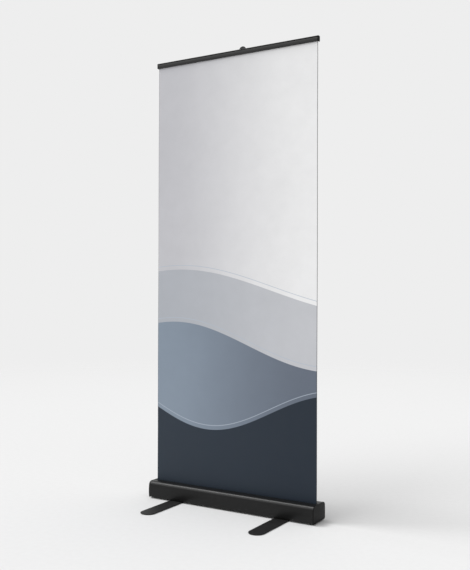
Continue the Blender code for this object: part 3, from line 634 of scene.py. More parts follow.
def black_powder_coat():
    return grained_coat("black_powder_coat", rgb(0.010), rgb(0.016), roughness=0.50, grain_scale=2200.0,
                        depth=0.00006, dust=0.03, wear=0.12, bare=rgb(0.10))


def black_plastic():
    return grained_coat("black_plastic", rgb(0.002), rgb(0.004), roughness=0.46, grain_scale=2800.0,
                        depth=0.00003, dust=0.02, wear=0.15, bare=rgb(0.05), shine=MOULDED_SHINE)


def pole_head_plastic():
    return grained_coat("pole_head_plastic", rgb(0.030), rgb(0.042), roughness=0.48, grain_scale=2800.0,
                        depth=0.00003, dust=0.03, wear=0.15, bare=rgb(0.09))


def black_rubber():
    return grained_coat("black_rubber", rgb(0.012), rgb(0.020), roughness=0.82, grain_scale=3500.0,
                        depth=0.00005, dust=0.2)


def black_pile():
    return grained_coat("black_pile", rgb(0.008), rgb(0.016), roughness=0.92, grain_scale=5200.0,
                        depth=0.00008, dust=0.2)


def white_nylon():
    return grained_coat("white_nylon", rgb(0.62, (1, 1, 0.96)), rgb(0.74, (1, 1, 0.96)), roughness=0.52,
                        grain_scale=1800.0, depth=0.00002)


def film_edge_strip():
    """Dark strip along the film's side edges."""
    return grained_coat("film_edge_strip", rgb(0.020), rgb(0.030), roughness=0.6, grain_scale=1800.0,
                        depth=0.00002)


def zinc_plated_steel():
    """Bright zinc with faint patches of warm and cool passivation."""
    made, wires, shader = new_material("zinc_plated_steel")
    place = object_place(wires)
    grain = use_effect(wires, FINE_GRAIN, {"Position": place, "Grain Scale": 900.0})
    patches = wires.noise(place, 160.0, 3.0)
    colour = wires.mix(patches, (0.46, 0.47, 0.50, 1.0), (0.58, 0.56, 0.48, 1.0))
    wires.feed(shader.inputs["Base Color"], colour)
    wires.feed(shader.inputs["Roughness"], wires.band(grain["Height"], 0.3, 0.7, 0.26, 0.42, False))
    shader.inputs["Metallic"].default_value = 1.0
    bumped(wires, shader, grain["Height"], 0.00002)
    return made


def spring_steel():
    """Oiled dark wire, bluer where it was tempered."""
    made, wires, shader = new_material("spring_steel")
    place = object_place(wires)
    patches = wires.noise(place, 60.0, 3.0)
    colour = wires.mix(patches, (0.20, 0.21, 0.24, 1.0), (0.33, 0.32, 0.31, 1.0))
    wires.feed(shader.inputs["Base Color"], colour)
    wires.feed(shader.inputs["Roughness"], wires.band(patches, 0.3, 0.7, 0.22, 0.40, False))
    shader.inputs["Metallic"].default_value = 1.0
    return made


def grey_film_back():
    """Block-out back of the film: plain grey with a faint calendered texture."""
    made, wires, shader = new_material("grey_film_back")
    place = object_place(wires)
    grain = use_effect(wires, FINE_GRAIN, {"Position": place, "Grain Scale": 1200.0})
    wires.feed(shader.inputs["Base Color"], wires.mix(grain["Tone"], rgb(0.42), rgb(0.50, (1, 1, 1.02))))
    wires.feed(shader.inputs["Roughness"], wires.band(grain["Tone"], 0.3, 0.7, 0.58, 0.68, False))
    bumped(wires, shader, grain["Height"], 0.00003)
    return made


# ---- the print: three plain bands with sine edges, metres from the floor's middle ----
PALE_LEFT = (0.56, 0.56, 0.59, 1.0)
PALE_RIGHT = (0.88, 0.88, 0.885, 1.0)
THIN_LINE_COLOUR = (0.46, 0.52, 0.60, 1.0)
THIN_LINE_WIDTH = 0.003
THIN_LINE_RISE = 0.02
BAND_BLUR = 0.0006
# each band: middle height of its edge, swing, wave length, shift in waves, colour at both sides
PRINT_BANDS = [
    (1.00, 0.10, 2.00, 0.40, (0.44, 0.46, 0.50, 1.0), (0.56, 0.57, 0.60, 1.0)),
    (0.75, 0.10, 1.60, 0.45, (0.245, 0.298, 0.368, 1.0), (0.130, 0.155, 0.200, 1.0)),
    (0.45, 0.10, 1.30, 0.85, (0.020, 0.031, 0.047, 1.0), (0.012, 0.021, 0.035, 1.0)),
]


def over_edge(wires, across, height, level, swing, length, shift):
    """Height over the edge level + swing * sin(2 * pi * (x / length + shift))."""
    angle = wires.math("MULTIPLY_ADD", across, 2 * math.pi / length, 2 * math.pi * shift)
    edge = wires.math("MULTIPLY_ADD", wires.math("SINE", angle), swing, level)
    return wires.math("SUBTRACT", height, edge)


def printed_bands(wires, across, height, ground):
    """Lays the bands over the ground from the highest down, each with a thin line above its edge."""
    colour = ground
    for *edge, left, right in PRINT_BANDS:
        over = over_edge(wires, across, height, *edge)
        beside = wires.math("ABSOLUTE", wires.math("SUBTRACT", over, THIN_LINE_RISE))
        line = wires.band(beside, THIN_LINE_WIDTH * 0.35, THIN_LINE_WIDTH * 0.65, 0.8, 0.0)
        colour = wires.mix(line, colour, THIN_LINE_COLOUR)
        inside = wires.band(over, -BAND_BLUR, BAND_BLUR, 1.0, 0.0)
        shade = wires.mix(wires.band(across, -BANNER_HALF, BANNER_HALF), left, right)
        colour = wires.mix(inside, colour, shade)
    return colour


def printed_film():
    """Matt print: a pale ground that lightens to the right, three bands, all lightly mottled."""
    made, wires, shader = new_material("printed_film")
    place = object_place(wires)
    flat = wires.scale(place, (1.0, 0.0, 1.0))
    parts = wires.add("ShaderNodeSeparateXYZ", {0: flat})
    across, height = parts.outputs["X"], parts.outputs["Z"]
    mottle = wires.noise(flat, scale=14.0, detail=6.0, roughness=0.62)
    cloud = wires.noise(flat, scale=3.2, detail=4.0, roughness=0.55)

    ground = wires.mix(wires.band(across, -BANNER_HALF, BANNER_HALF), PALE_LEFT, PALE_RIGHT)
    colour = printed_bands(wires, across, height, ground)
    uneven = wires.math("ADD", wires.math("MULTIPLY", mottle, 0.10), wires.math("MULTIPLY", cloud, 0.10))
    gain = wires.math("ADD", uneven, 0.90)
    gain_colour = wires.add("ShaderNodeCombineColor", {0: gain, 1: gain, 2: gain}).outputs[0]
    wires.feed(shader.inputs["Base Color"], wires.mix(1.0, colour, gain_colour, "MULTIPLY"))

    grain = use_effect(wires, FINE_GRAIN, {"Position": place, "Grain Scale": 1600.0})
    wires.feed(shader.inputs["Roughness"], wires.band(mottle, 0.3, 0.7, 0.52, 0.62, False))
    bumped(wires, shader, grain["Height"], 0.00003)
    shader.inputs["Specular IOR Level"].default_value = PRINT_SHINE
    return made


FINISHES = {make.__name__: make() for make in (
    satin_black_aluminium, anthracite_aluminium, plain_aluminium, black_powder_coat, black_plastic,
    pole_head_plastic, black_rubber, black_pile, white_nylon, zinc_plated_steel, spring_steel,
    grey_film_back, film_edge_strip, printed_film)}


# ---------------------------------------------------------------- cassette

def bulged(outline):
    """Moves the front and rear walls out by bulge * (1 - s * s), s going from -1 to 1 up the wall."""
    wall = SHELL_DEPTH_HALF - SHELL_WALL - MERGE
    low, high = BOTTOM_RADIUS, SHELL_HEIGHT - TOP_RADIUS
    s = np.clip((2 * outline[:, 1] - low - high) / (high - low), -1, 1)
    moved = outline.copy()
    outwards = np.sign(outline[:, 0]) * FACE_BULGE * (1 - s * s)
    moved[:, 0] += np.where(np.abs(outline[:, 0]) > wall, outwards, 0)
    return moved


def closed_outline(extra):
    """The cassette's outer outline, larger all round by extra."""
    half, top = SHELL_DEPTH_HALF, SHELL_HEIGHT
    outline, rim = filleted([(-half, top, TOP_RADIUS), (-half, 0, BOTTOM_RADIUS),
                             (half, 0, BOTTOM_RADIUS), (half, top, TOP_RADIUS)], 12)
    outline, rim = divided(outline, rim, 0.004)
    return inset(bulged(outline), -extra), rim


def shell_outline():
    """The extrusion's wall: outer face, rear slot lip, inner face and front slot lip in one loop."""
    half, top, wall = SHELL_DEPTH_HALF, SHELL_HEIGHT, SHELL_WALL
    front = -SLOT_AHEAD - SLOT_WIDTH / 2
    rear = -SLOT_AHEAD + SLOT_WIDTH / 2
    lip, ceiling = top - SLOT_LIP_DROP, top - wall
    inner_top, inner_low = TOP_RADIUS - wall, BOTTOM_RADIUS - wall
    outline, rim = filleted([
        (front, top, SLOT_EDGE), (-half, top, TOP_RADIUS), (-half, 0, BOTTOM_RADIUS),
        (half, 0, BOTTOM_RADIUS), (half, top, TOP_RADIUS), (rear, top, SLOT_EDGE), (rear, lip, LIP_EDGE),
        (rear + wall, lip, LIP_EDGE), (rear + wall, ceiling, INNER_EDGE),
        (half - wall, ceiling, inner_top), (half - wall, wall, inner_low), (-half + wall, wall, inner_low),
        (-half + wall, ceiling, inner_top), (front - wall, ceiling, INNER_EDGE),
        (front - wall, lip, LIP_EDGE), (front, lip, LIP_EDGE)], 10)
    outline, rim = divided(outline, rim, 0.005)
    return bulged(outline), rim * (np.abs(outline[:, 0]) < half)


def port_places():
    """Centre and mouth angle of the two screw ports, upper rear and lower front."""
    reach = SCREW_RADIUS + GAP + PORT_WALL
    diagonal = (TOP_RADIUS - SHELL_WALL - reach + CUT) * math.sqrt(0.5)
    upper = (SHELL_DEPTH_HALF - TOP_RADIUS + diagonal, SHELL_HEIGHT - TOP_RADIUS + diagonal, 225)
    lower = (-SHELL_DEPTH_HALF + SHELL_WALL + reach - CUT, SHELL_WALL + reach - CUT, 45)
    return {"upper": upper, "lower": lower}


def port_part(u, v, mouth):
    """C-shaped tube along X whose mouth faces into the cassette."""
    bore = SCREW_RADIUS + GAP
    first, last = mouth + PORT_MOUTH, mouth + 360 - PORT_MOUTH
    outline = np.concatenate([arc(u, v, bore + PORT_WALL, first, last, 24),
                              arc(u, v, bore, last, first, 24)])
    return extrusion(outline, np.zeros(len(outline)), SHELL_HALF, (0, SHELL_Y, SHELL_BOTTOM))


def cassette_shell():
    """Extrusion with both screw ports, drilled for the pole, the feet's bolts and the socket's screws."""
    shell = solid("shell_extrusion", [extrusion(*shell_outline(), SHELL_HALF, (0, SHELL_Y, SHELL_BOTTOM))])
    for port in port_places().values():
        carved(shell, [port_part(*port)], "UNION")
    pole_hole = rod(tube_radius("lower") + 5 * GAP, -SHELL_WALL - CUT, CUT, 64)
    drilled = [placed(pole_hole, (POLE_X, POLE_Y, SHELL_HIGH[2]))]
    for word in ("left", "right"):
        for fastener, radius in (("foot_bolt_", BOLT_RADIUS), ("socket_screw_", SCREW_RADIUS)):
            hole = rod(radius + GAP, -CUT, SHELL_WALL + CUT)
            drilled.append(placed(hole, (*axis_of(fastener + word), SHELL_BOTTOM)))
    carved(shell, drilled)
    fitted(shell, "satin_black_aluminium", "base", "cassette_shell")


def end_cap(word, side):
    """Moulded end: the cassette's outline with a rounded rim, an arbor boss, two lugs and screw seats."""
    outline, rim = closed_outline(CAP_PROUD)
    inner = side * (SHELL_HALF + GAP)
    outer = side * BASE_HALF
    plate = swept(outline, 0 * rim, rounded_ends(inner, outer, CAP_RIM))
    cap = solid("end_" + word, [placed(plate, (0, SHELL_Y, SHELL_BOTTOM), "+x")])
    tip = side * (SHELL_HALF - BOSS_LENGTH)
    roller_axis = (0, ROLLER_Y, ROLLER_Z)
    carved(cap, [placed(rod(BOSS_RADIUS, tip, inner + side * CUT, 48), roller_axis, "+x")], "UNION")
    lug_height = SHELL_HEIGHT / 3
    for end in (-1, 1):
        lug_y = SHELL_Y + end * (SHELL_DEPTH_HALF - SHELL_WALL - 3 * GAP - LUG_THICKNESS / 2)
        lug_x = side * (SHELL_HALF - BOSS_LENGTH / 2 + GAP)
        lug = block(BOSS_LENGTH + CUT, LUG_THICKNESS, 0, lug_height)
        carved(cap, [placed(lug, (lug_x, lug_y, SHELL_BOTTOM + lug_height))], "UNION")
    pocket_sides = 6 if side < 0 else 48
    pocket_floor = outer - side * (BASE_HALF - SHELL_HALF) / 2
    pocket = rod(ARBOR_RADIUS + GAP, tip - side * CUT, pocket_floor, pocket_sides)
    near, far = inner - side * CUT, outer + side * CUT
    seat = outer - side * (SCREW_HEAD_HEIGHT + 2 * GAP)
    bore, sink = SCREW_RADIUS + GAP, SCREW_HEAD + SCREW_HEAD_GAP
    steps = [(0, near), (bore, near), (bore, seat), (sink, seat), (sink, far), (0, far)]
    stepped = turned(steps, steps=40)
    places = [(0, SHELL_Y + u, SHELL_BOTTOM + v) for u, v, _ in port_places().values()]
    carved(cap, [placed(pocket, roller_axis, "+x")] + [placed(stepped, place, "+x") for place in places])
    fitted(cap, "black_plastic", "base", "end_cap_" + word)


def cross_recess(depth, width, length):
    """Plus-shaped cutter that narrows downwards; its top is above the screw head."""
    w, r = width / 2, length / 2
    plus = np.array([(w, w), (w, r), (-w, r), (-w, w), (-r, w), (-r, -w),
                     (-w, -w), (-w, -r), (w, -r), (w, -w), (r, -w), (r, w)])
    count = len(plus)
    levels = ((-depth, 0.45), (CUT, 1.15))
    rings = [np.column_stack([plus * share, np.full(count, level)]) for level, share in levels]
    ends = np.stack([np.arange(count)[::-1], np.arange(count) + count])
    return np.concatenate(rings), [grid_faces(2, count, False, True), ends], np.zeros(2 * count)


def pan_screw(place, direction, length, finish, node):
    """Pan head with a domed top, a cross recess and a plain shank; its top is at place."""
    low = -SCREW_HEAD_HEIGHT
    drop = SCREW_HEAD * 1.42
    dome = arc(0, low - drop, drop - low, 90, 68, 8)
    edge = arc(SCREW_HEAD - SCREW_HEAD_EDGE, low * 0.55, SCREW_HEAD_EDGE, 55, 0, 5)
    tip = low - length
    shank = [(SCREW_HEAD, low), (SCREW_RADIUS, low), (SCREW_RADIUS, tip + SCREW_TIP),
             (SCREW_RADIUS - SCREW_TIP, tip), (0, tip)]
    profile = np.concatenate([[(0, 0)], dome[1:], edge, shank])
    rim = np.zeros(len(profile))
    rim[len(dome):len(dome) + len(edge)] = 1
    screw = solid("head_" + node, [placed(turned(profile, rim, 40), place, direction)])
    carved(screw, [placed(cross_recess(RECESS_DEPTH, RECESS_WIDTH, RECESS_LENGTH), place, direction)])
    fitted(screw, finish, "base", node)


def screws():
    """Two screws through each end cap and the two that hold the pole's socket."""
    for word, side in (("left", -1), ("right", 1)):
        for level, (u, v, _) in port_places().items():
            place = (side * (BASE_HALF - GAP), SHELL_Y + u, SHELL_BOTTOM + v)
            pan_screw(place, "+x" if side > 0 else "-x", CAP_SCREW_LENGTH, "black_powder_coat",
                      "cap_screw_" + word + "_" + level)
        node = "socket_screw_" + word
        low, high = corners(node)
        length = high[2] - low[2] - SCREW_HEAD_HEIGHT
        pan_screw((*axis_of(node), high[2]), "+z", length, "zinc_plated_steel", node)


def slot_brush(word, seed):
    """Pile strip: a thin backing and rows of four-sided tufts, each with its own lean and length."""
    low, high = corners("slot_seal_" + word)
    backing_top = low[2] + BRUSH_BACKING
    towards = 1 if word == "front" else -1
    strip = np.array([(low[1], low[2]), (high[1], low[2]), (high[1], backing_top), (low[1], backing_top)])
    backing = extrusion(strip, np.zeros(4), high[0], (0, 0, 0))
    random = np.random.default_rng(seed)
    x = np.arange(low[0] + 2 * TUFT_MARGIN, high[0] - 2 * TUFT_MARGIN, TUFT_SPACING)
    rows = np.linspace(low[1] + TUFT_MARGIN, high[1] - TUFT_MARGIN, TUFT_ROWS)
    foot = np.stack([a.ravel() for a in np.meshgrid(x, rows, indexing="ij")], -1)
    foot = foot + random.uniform(-TUFT_SCATTER, TUFT_SCATTER, foot.shape)
    length = (high[2] - backing_top) * random.uniform(*TUFT_SHARES, len(foot))
    lean = random.uniform(-TUFT_LEAN, TUFT_LEAN, foot.shape) + [0, towards * 0.0002]
    square = np.array([(-1, -1), (1, -1), (1, 1), (-1, 1)]) * TUFT_HALF
    base = np.concatenate([foot[:, None] + square, np.full((len(foot), 4, 1), backing_top - TUFT_ROOT)], -1)
    tip_centre = np.clip(foot + lean, [low[0], low[1] + 0.0001], [high[0], high[1] - 0.0001])
    tip = np.concatenate([tip_centre[:, None] + square * TUFT_TIP,
                          np.broadcast_to((backing_top + length)[:, None, None], (len(foot), 4, 1))], -1)
    points = np.concatenate([base, tip], 1).reshape(-1, 3)
    points[:, 1] = np.clip(points[:, 1], low[1], high[1])
    cell = np.array([[0, 3, 2, 1], [4, 5, 6, 7], [0, 1, 5, 4], [1, 2, 6, 5], [2, 3, 7, 6], [3, 0, 4, 7]])
    faces = (np.arange(len(foot))[:, None, None] * 8 + cell).reshape(-1, 4)
    brush = solid("brush_" + word, [backing, (points, [faces], np.zeros(len(points)))])
    fitted(brush, "black_pile", "base", "slot_seal_" + word)


# ---------------------------------------------------------------- feet

def foot(word):
    """Flat bar whose straight sides run between two half circles, its upper edge rounded over."""
    low, high = corners("foot_bar_" + word)
    radius = (high[0] - low[0]) / 2
    reach = (high[1] - low[1]) / 2 - radius
    outline = np.concatenate([arc(0, -reach, radius, 180, 360, 40), arc(0, reach, radius, 0, 180, 40)])
    thickness = high[2] - low[2]
    angle = np.linspace(0, math.pi / 2, 6)
    stations = [(0, FINE_EDGE, FOOT_RIM), (FINE_EDGE, 0, FOOT_RIM)]
    stations += list(zip(thickness - FOOT_EDGE * (1 - np.sin(angle)), FOOT_EDGE * (1 - np.cos(angle)),
                         np.maximum(np.sin(2 * angle), FOOT_EDGE_RIM)))
    stations += [(thickness, FOOT_EDGE + 0.0006, 0.0)]
    plate = swept(outline, np.zeros(len(outline)), stations)
    bar = solid("bar_" + word, [placed(plate, (*axis_of("foot_bar_" + word), low[2]))])
    seat, hole = BOLT_HEAD + GAP, BOLT_RADIUS + GAP
    sink = [(0, -CUT), (seat, -CUT), (seat, GAP), (hole, thickness - FOOT_EDGE), (hole, thickness + CUT),
            (0, thickness + CUT)]
    carved(bar, [placed(turned(sink, steps=48), (*axis_of("foot_bolt_" + word), low[2]))])
    fitted(bar, "black_powder_coat", "foot_" + word, "foot_bar_" + word)


def foot_bolt(word):
    """Countersunk bolt with a hexagon socket in its head, which faces the floor."""
    node = "foot_bolt_" + word
    low, high = corners(node)
    place = (*axis_of(node), 0)
    cone = corners("foot_bar_" + word)[1][2] - FOOT_EDGE
    bottom, top = low[2], high[2]
    profile = [(0, bottom), (BOLT_HEAD, bottom), (BOLT_HEAD, bottom + GAP), (BOLT_RADIUS, cone),
               (BOLT_RADIUS, top - BOLT_TIP), (BOLT_RADIUS - BOLT_TIP, top), (0, top)]
    bolt = solid("socket_head_bolt_" + word, [placed(turned(profile, steps=48), place)])
    carved(bolt, [placed(rod(BOLT_SOCKET, bottom - CUT, bottom + BOLT_SOCKET_DEPTH, 6), place)])
    fitted(bolt, "zinc_plated_steel", "base", node)


def foot_pad(word, end):
    """Rubber disc with a rounded upper edge and two ring grooves in its tread."""
    node = "foot_pad_" + word + "_" + end
    low, high = corners(node)
    radius, height = (high[0] - low[0]) / 2, high[2] - low[2]
    tread = [(0, 0)]
    for ring in PAD_RINGS:
        inner, outer = ring * radius, ring * radius + GROOVE_WIDTH
        tread += [(inner, 0), (inner + 0.0001, GROOVE_DEPTH), (outer - 0.0001, GROOVE_DEPTH), (outer, 0)]
    shoulder = arc(radius - PAD_EDGE, height - PAD_EDGE, PAD_EDGE, 0, 90, 5)
    profile = np.concatenate([tread, [(radius - 0.0002, 0), (radius, 0.0002)], shoulder, [(0, height)]])
    pad = solid("pad_" + word + "_" + end, [placed(turned(profile, steps=56), (*axis_of(node), 0))])
    fitted(pad, "black_rubber", "foot_" + word, node)


# ---------------------------------------------------------------- pole

def pole_tube(word):
    """Pipe whose four end edges are chamfered."""
    low, high = corners("pole_" + word + "_tube")
    radius = tube_radius(word)
    bore = radius - TUBE_WALL
    outline, rim = filleted([(bore, low[2], TUBE_EDGE), (radius, low[2], TUBE_EDGE),
                             (radius, high[2], TUBE_EDGE), (bore, high[2], TUBE_EDGE)], 2)
    pipe = solid("pipe_" + word, [placed(turned(outline, rim), (POLE_X, POLE_Y, 0))])
    fitted(pipe, "plain_aluminium", "pole_" + word, "pole_" + word + "_tube")


def collet(word, outer_word, inner_word):
    """Clamp sleeve round a tube's top with a beaded lower edge and a bevelled nose."""
    low, high = corners("collet_" + word)
    sleeve_in = tube_radius(outer_word) + GAP
    sleeve_out = sleeve_in + COLLET_WALL
    nose_in = tube_radius(inner_word) + GAP
    top = corners("pole_" + outer_word + "_tube")[1][2]
    bevel_in, bevel_drop = COLLET_BEVEL
    outline, rim = filleted([
        (sleeve_in, low[2], FINE_EDGE), (sleeve_out, low[2], COLLET_BEAD),
        (sleeve_out, high[2] - bevel_drop, INNER_EDGE), (sleeve_out - bevel_in, high[2], FINE_EDGE),
        (nose_in, high[2], FINE_EDGE), (nose_in, top + GAP, TUBE_EDGE),
        (sleeve_in, top + GAP, TUBE_EDGE)], 4)
    clamp = solid("clamp_" + word, [placed(turned(outline, rim), (POLE_X, POLE_Y, 0))])
    fitted(clamp, "black_plastic", "pole_" + outer_word, "collet_" + word)


def collar(word, inner_word):
    """Twist ring with twelve finger ribs that fade out towards its rounded ends."""
    low, high = corners("collar_" + word)
    outer = (high[0] - low[0]) / 2
    bore = outer - COLLAR_WALL
    lip = tube_radius(inner_word) + GAP
    ceiling = high[2] - COLLAR_ROOF
    outline, rim = filleted([
        (bore, low[2], FINE_EDGE), (outer, low[2], COLLAR_LOW_EDGE), (outer, high[2], COLLAR_TOP_EDGE),
        (lip, high[2], FINE_EDGE), (lip, ceiling, FINE_EDGE), (bore, ceiling, FINE_EDGE)], 6)
    outline, rim = divided(outline, rim, 0.0016)
    ribbed = (low[2] + COLLAR_END, high[2] - COLLAR_END)
    ring = turned(outline, rim, 12 * COLLAR_RIBS, COLLAR_RIBS, COLLAR_RIB_DEPTH, ribbed)
    nut = solid("twist_" + word, [placed(ring, (POLE_X, POLE_Y, 0))], 40)
    fitted(nut, "black_plastic", "collar_" + word, "collar_" + word)


def pole_head():
    """Sleeve on the pole's top, a bridge forward to the hook tongue and the round knob behind the rail."""
    top = corners("pole_upper_tube")[1][2]
    bore = tube_radius("upper") + GAP
    outer = bore + HEAD_WALL
    ceiling, foot_z, crown_z = top + GAP, top - HEAD_SLEEVE, top + HEAD_TOP + GAP
    corner = 6
    outline, rim = filleted([(0, ceiling, 0.00001), (bore, ceiling, TUBE_EDGE), (bore, foot_z, FINE_EDGE),
                             (outer, foot_z, HEAD_EDGE), (outer, crown_z, CROWN_EDGE),
                             (0, crown_z, 0.00001)], corner - 1)
    outline[:corner, 0] = 0
    outline[-corner:, 0] = 0
    inner = slice(corner - 1, -corner)
    sleeve = turned(np.concatenate([outline[inner], [outline[-1]]]), np.append(rim[inner], 0))
    head = solid("head_moulding", [placed(sleeve, (POLE_X, POLE_Y, 0))])
    tongue_y = BANNER_Y + RAIL_REAR - RAIL_WALL - CHANNEL_WIDTH / 2
    knob_front = BANNER_Y + RAIL_REAR + 2 * GAP
    low, high = RAIL_BOTTOM - HEAD_TOP, RAIL_HIGH[2] - CHANNEL_LIP_DROP - 3 * GAP
    front = tongue_y - TONGUE_THICKNESS / 2
    bridge = block(HEAD_WIDTH, POLE_Y - front, low, high, HEAD_EDGE)
    carved(head, [placed(bridge, (POLE_X, (POLE_Y + front) / 2, 0))], "UNION")
    tongue = block(HEAD_WIDTH, TONGUE_THICKNESS, high - CUT, RAIL_HIGH[2] - RAIL_WALL - GAP, TONGUE_EDGE)
    carved(head, [placed(tongue, (POLE_X, tongue_y, 0))], "UNION")
    near_arc = arc(KNOB_RADIUS - KNOB_EDGE, KNOB_EDGE, KNOB_EDGE, -90, 0, 6)
    far_arc = arc(KNOB_RADIUS - KNOB_FACE_EDGE, KNOB_THICKNESS - KNOB_FACE_EDGE, KNOB_FACE_EDGE, 0, 90, 6)
    dished = KNOB_THICKNESS - KNOB_DISH
    face = [(KNOB_RADIUS - KNOB_BORDER, KNOB_THICKNESS), (KNOB_RADIUS - KNOB_BORDER - KNOB_DISH, dished),
            (0, dished)]
    profile = np.concatenate([[(0, 0)], near_arc, far_arc, face])
    edge = np.concatenate([[0], np.full(len(near_arc) + len(far_arc), 0.6), np.zeros(len(face))])
    knob = placed(turned(profile, edge, 80), (POLE_X, knob_front, RAIL_HIGH[2] - CUT), "+y")
    carved(head, [knob], "UNION")
    fitted(head, "pole_head_plastic", "pole_upper", "pole_head")


# ---------------------------------------------------------------- rail

BEAD_Y = -RAIL_FRONT + BEAD_SETBACK
BEAD_Z = RAIL_HEIGHT - RAIL_WALL - BEAD_SETBACK - GAP


def rail_body():
    """Web behind the film, top plate, cradle for the jaw's bead and rear lip, in one extrusion."""
    web = FILM_HALF + GAP
    channel = RAIL_REAR - RAIL_WALL - CHANNEL_WIDTH
    lip, plate = RAIL_HEIGHT - CHANNEL_LIP_DROP, RAIL_HEIGHT - RAIL_WALL
    crown = RAIL_CROWN
    step = GRIPPER_HEIGHT + 2 * GAP
    behind = web + GRIPPER_THICKNESS + GAP
    inner, outer = BEAD_RADIUS + GAP, BEAD_RADIUS + GAP + CRADLE_WALL
    rear_crown = arc(RAIL_REAR - crown, RAIL_HEIGHT - crown, crown, 0, 90, 6)
    front_crown = arc(-RAIL_FRONT + crown, RAIL_HEIGHT - crown, crown, 90, 180, 6)
    outline = np.concatenate([
        [(-RAIL_FRONT, plate), (BEAD_Y + inner, plate)], arc(BEAD_Y, BEAD_Z, inner, 10, -95, 14),
        arc(BEAD_Y, BEAD_Z, outer, -95, 0, 14),
        [(BEAD_Y + outer, plate), (web, plate), (web, step), (behind, step), (behind, 0.0), (channel, 0.0),
         (channel, plate), (RAIL_REAR - RAIL_WALL, plate), (RAIL_REAR - RAIL_WALL, lip), (RAIL_REAR, lip)],
        rear_crown, front_crown])
    rim = np.zeros(len(outline))
    rim[-2 * len(rear_crown):] = np.tile(np.sin(np.linspace(0, math.pi, len(rear_crown))), 2)
    body = solid("rail_extrusion", [extrusion(outline, rim, RAIL_HALF, (0, BANNER_Y, RAIL_BOTTOM))])
    fitted(body, "anthracite_aluminium", "rail", "rail_body")


def rail_jaw():
    """Front plate bulged by 4 * s * (1 - s) up its height, with a bead on top and a lip below."""
    face, crown = -RAIL_FRONT, RAIL_CROWN
    bulge = RAIL_LOW[1] - corners("rail_jaw")[0][1]
    grip = -FILM_HALF - GAP - GRIPPER_THICKNESS - GAP
    height = np.linspace(BEAD_Z, crown, 14)
    share = (height - crown) / (BEAD_Z - crown)
    front = np.stack([face - bulge * 4 * share * (1 - share), height], -1)
    bead = arc(BEAD_Y, BEAD_Z, BEAD_RADIUS, -140, 130, 20)
    corner = arc(face + crown, crown, crown, 180, 270, 5)[1:]
    lip = arc(grip - FINE_EDGE, FINE_EDGE, FINE_EDGE, 270, 360, 3)
    back = [(grip, GRIPPER_HEIGHT), (face + RAIL_WALL, GRIPPER_HEIGHT + CRADLE_WALL)]
    outline = np.concatenate([bead, front, corner, lip, back])
    rim = np.zeros(len(outline))
    rim[len(bead) + len(front):][:len(corner)] = 1
    jaw = solid("front_jaw", [extrusion(outline, rim, RAIL_HALF, (0, BANNER_Y, RAIL_BOTTOM))])
    fitted(jaw, "anthracite_aluminium", "rail_jaw", "rail_jaw")


def rail_cap(word, side):
    """Rounded block over the rail's end with a rounded outer rim."""
    low, high = corners("rail_cap_" + word)
    front, rear, top = low[1] - BANNER_Y, high[1] - BANNER_Y, high[2] - low[2]
    outline, rim = filleted([(rear, 0, RAIL_CAP_RADIUS), (rear, top, RAIL_CAP_RADIUS),
                             (front, top, RAIL_CAP_RADIUS), (front, 0, RAIL_CAP_RADIUS)], 8)
    inner, outer = (low[0], high[0]) if side > 0 else (high[0], low[0])
    plate = swept(outline, 0.5 * rim, rounded_ends(inner, outer, RAIL_CAP_RIM))
    cap = solid("rail_end_" + word, [placed(plate, (0, BANNER_Y, low[2]), "+x")])
    fitted(cap, "black_plastic", "rail", "rail_cap_" + word)


# ---------------------------------------------------------------- film

FILM_COLUMNS = 90
FILM_ROWS = 260
STRIP_ROWS = 200
SWAY = 0.0007
SWAY_FADE = 0.25
SWAY_ACROSS = 0.61
SWAY_UP = 1.7
EDGE_SWAY_UP = 0.93
EDGE_SWAY_SHARE = 0.8
STRIP_CLEAR = 0.0001
STRIP_WIDTH = 0.0010
STRIP_DEPTH = 0.0022


def film_sway(x, z):
    """Depth of the film's slow waves: crossed sines and a sine at the edges, nought at slot and rail."""
    above, below = (z - SHELL_HIGH[2]) / SWAY_FADE, (RAIL_BOTTOM - z) / SWAY_FADE
    free = np.clip(above, 0, 1) * np.clip(below, 0, 1)
    free = free * free * (3 - 2 * free)
    across = np.sin(2 * math.pi * x / SWAY_ACROSS + 1.1) * np.sin(2 * math.pi * z / SWAY_UP + 0.4)
    edges = (np.abs(x) / BANNER_HALF) ** 6 * np.sin(2 * math.pi * z / EDGE_SWAY_UP)
    return SWAY * free * (across + EDGE_SWAY_SHARE * edges)


def wound_up(item):
    """Gives the item its own copy of its mesh."""
    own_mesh(item)


def edge_strip(word, side):
    """Dark strip beside the film's side edge, from the film's front to a little behind its back, following
    the film's waves.
    """
    z = np.linspace(SHELL_HIGH[2] + 0.0016, RAIL_BOTTOM - 0.0008, STRIP_ROWS)
    inner = side * (BANNER_HALF + STRIP_CLEAR)
    outer = side * (BANNER_HALF + STRIP_CLEAR + STRIP_WIDTH)
    depth = film_sway(np.full(len(z), side * BANNER_HALF), z)
    front, back = BANNER_Y - FILM_HALF, BANNER_Y + FILM_HALF + STRIP_DEPTH
    ring = [(inner, front), (outer, front), (outer, back), (inner, back)]
    points = np.stack([np.stack([np.full(len(z), x), y + depth, z], -1) for x, y in ring], 1)
    sides = grid_faces(len(z), 4, False, True)
    ends = np.array([[3, 2, 1, 0], [0, 1, 2, 3]]) + [[0], [(len(z) - 1) * 4]]
    strip = solid("film_edge_" + word, [(points.reshape(-1, 3), [sides, ends], np.zeros(4 * len(z)))])
    strip.data.materials.append(FINISHES["film_edge_strip"])
    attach(strip, "rail")
    wound_up(strip)
    return strip


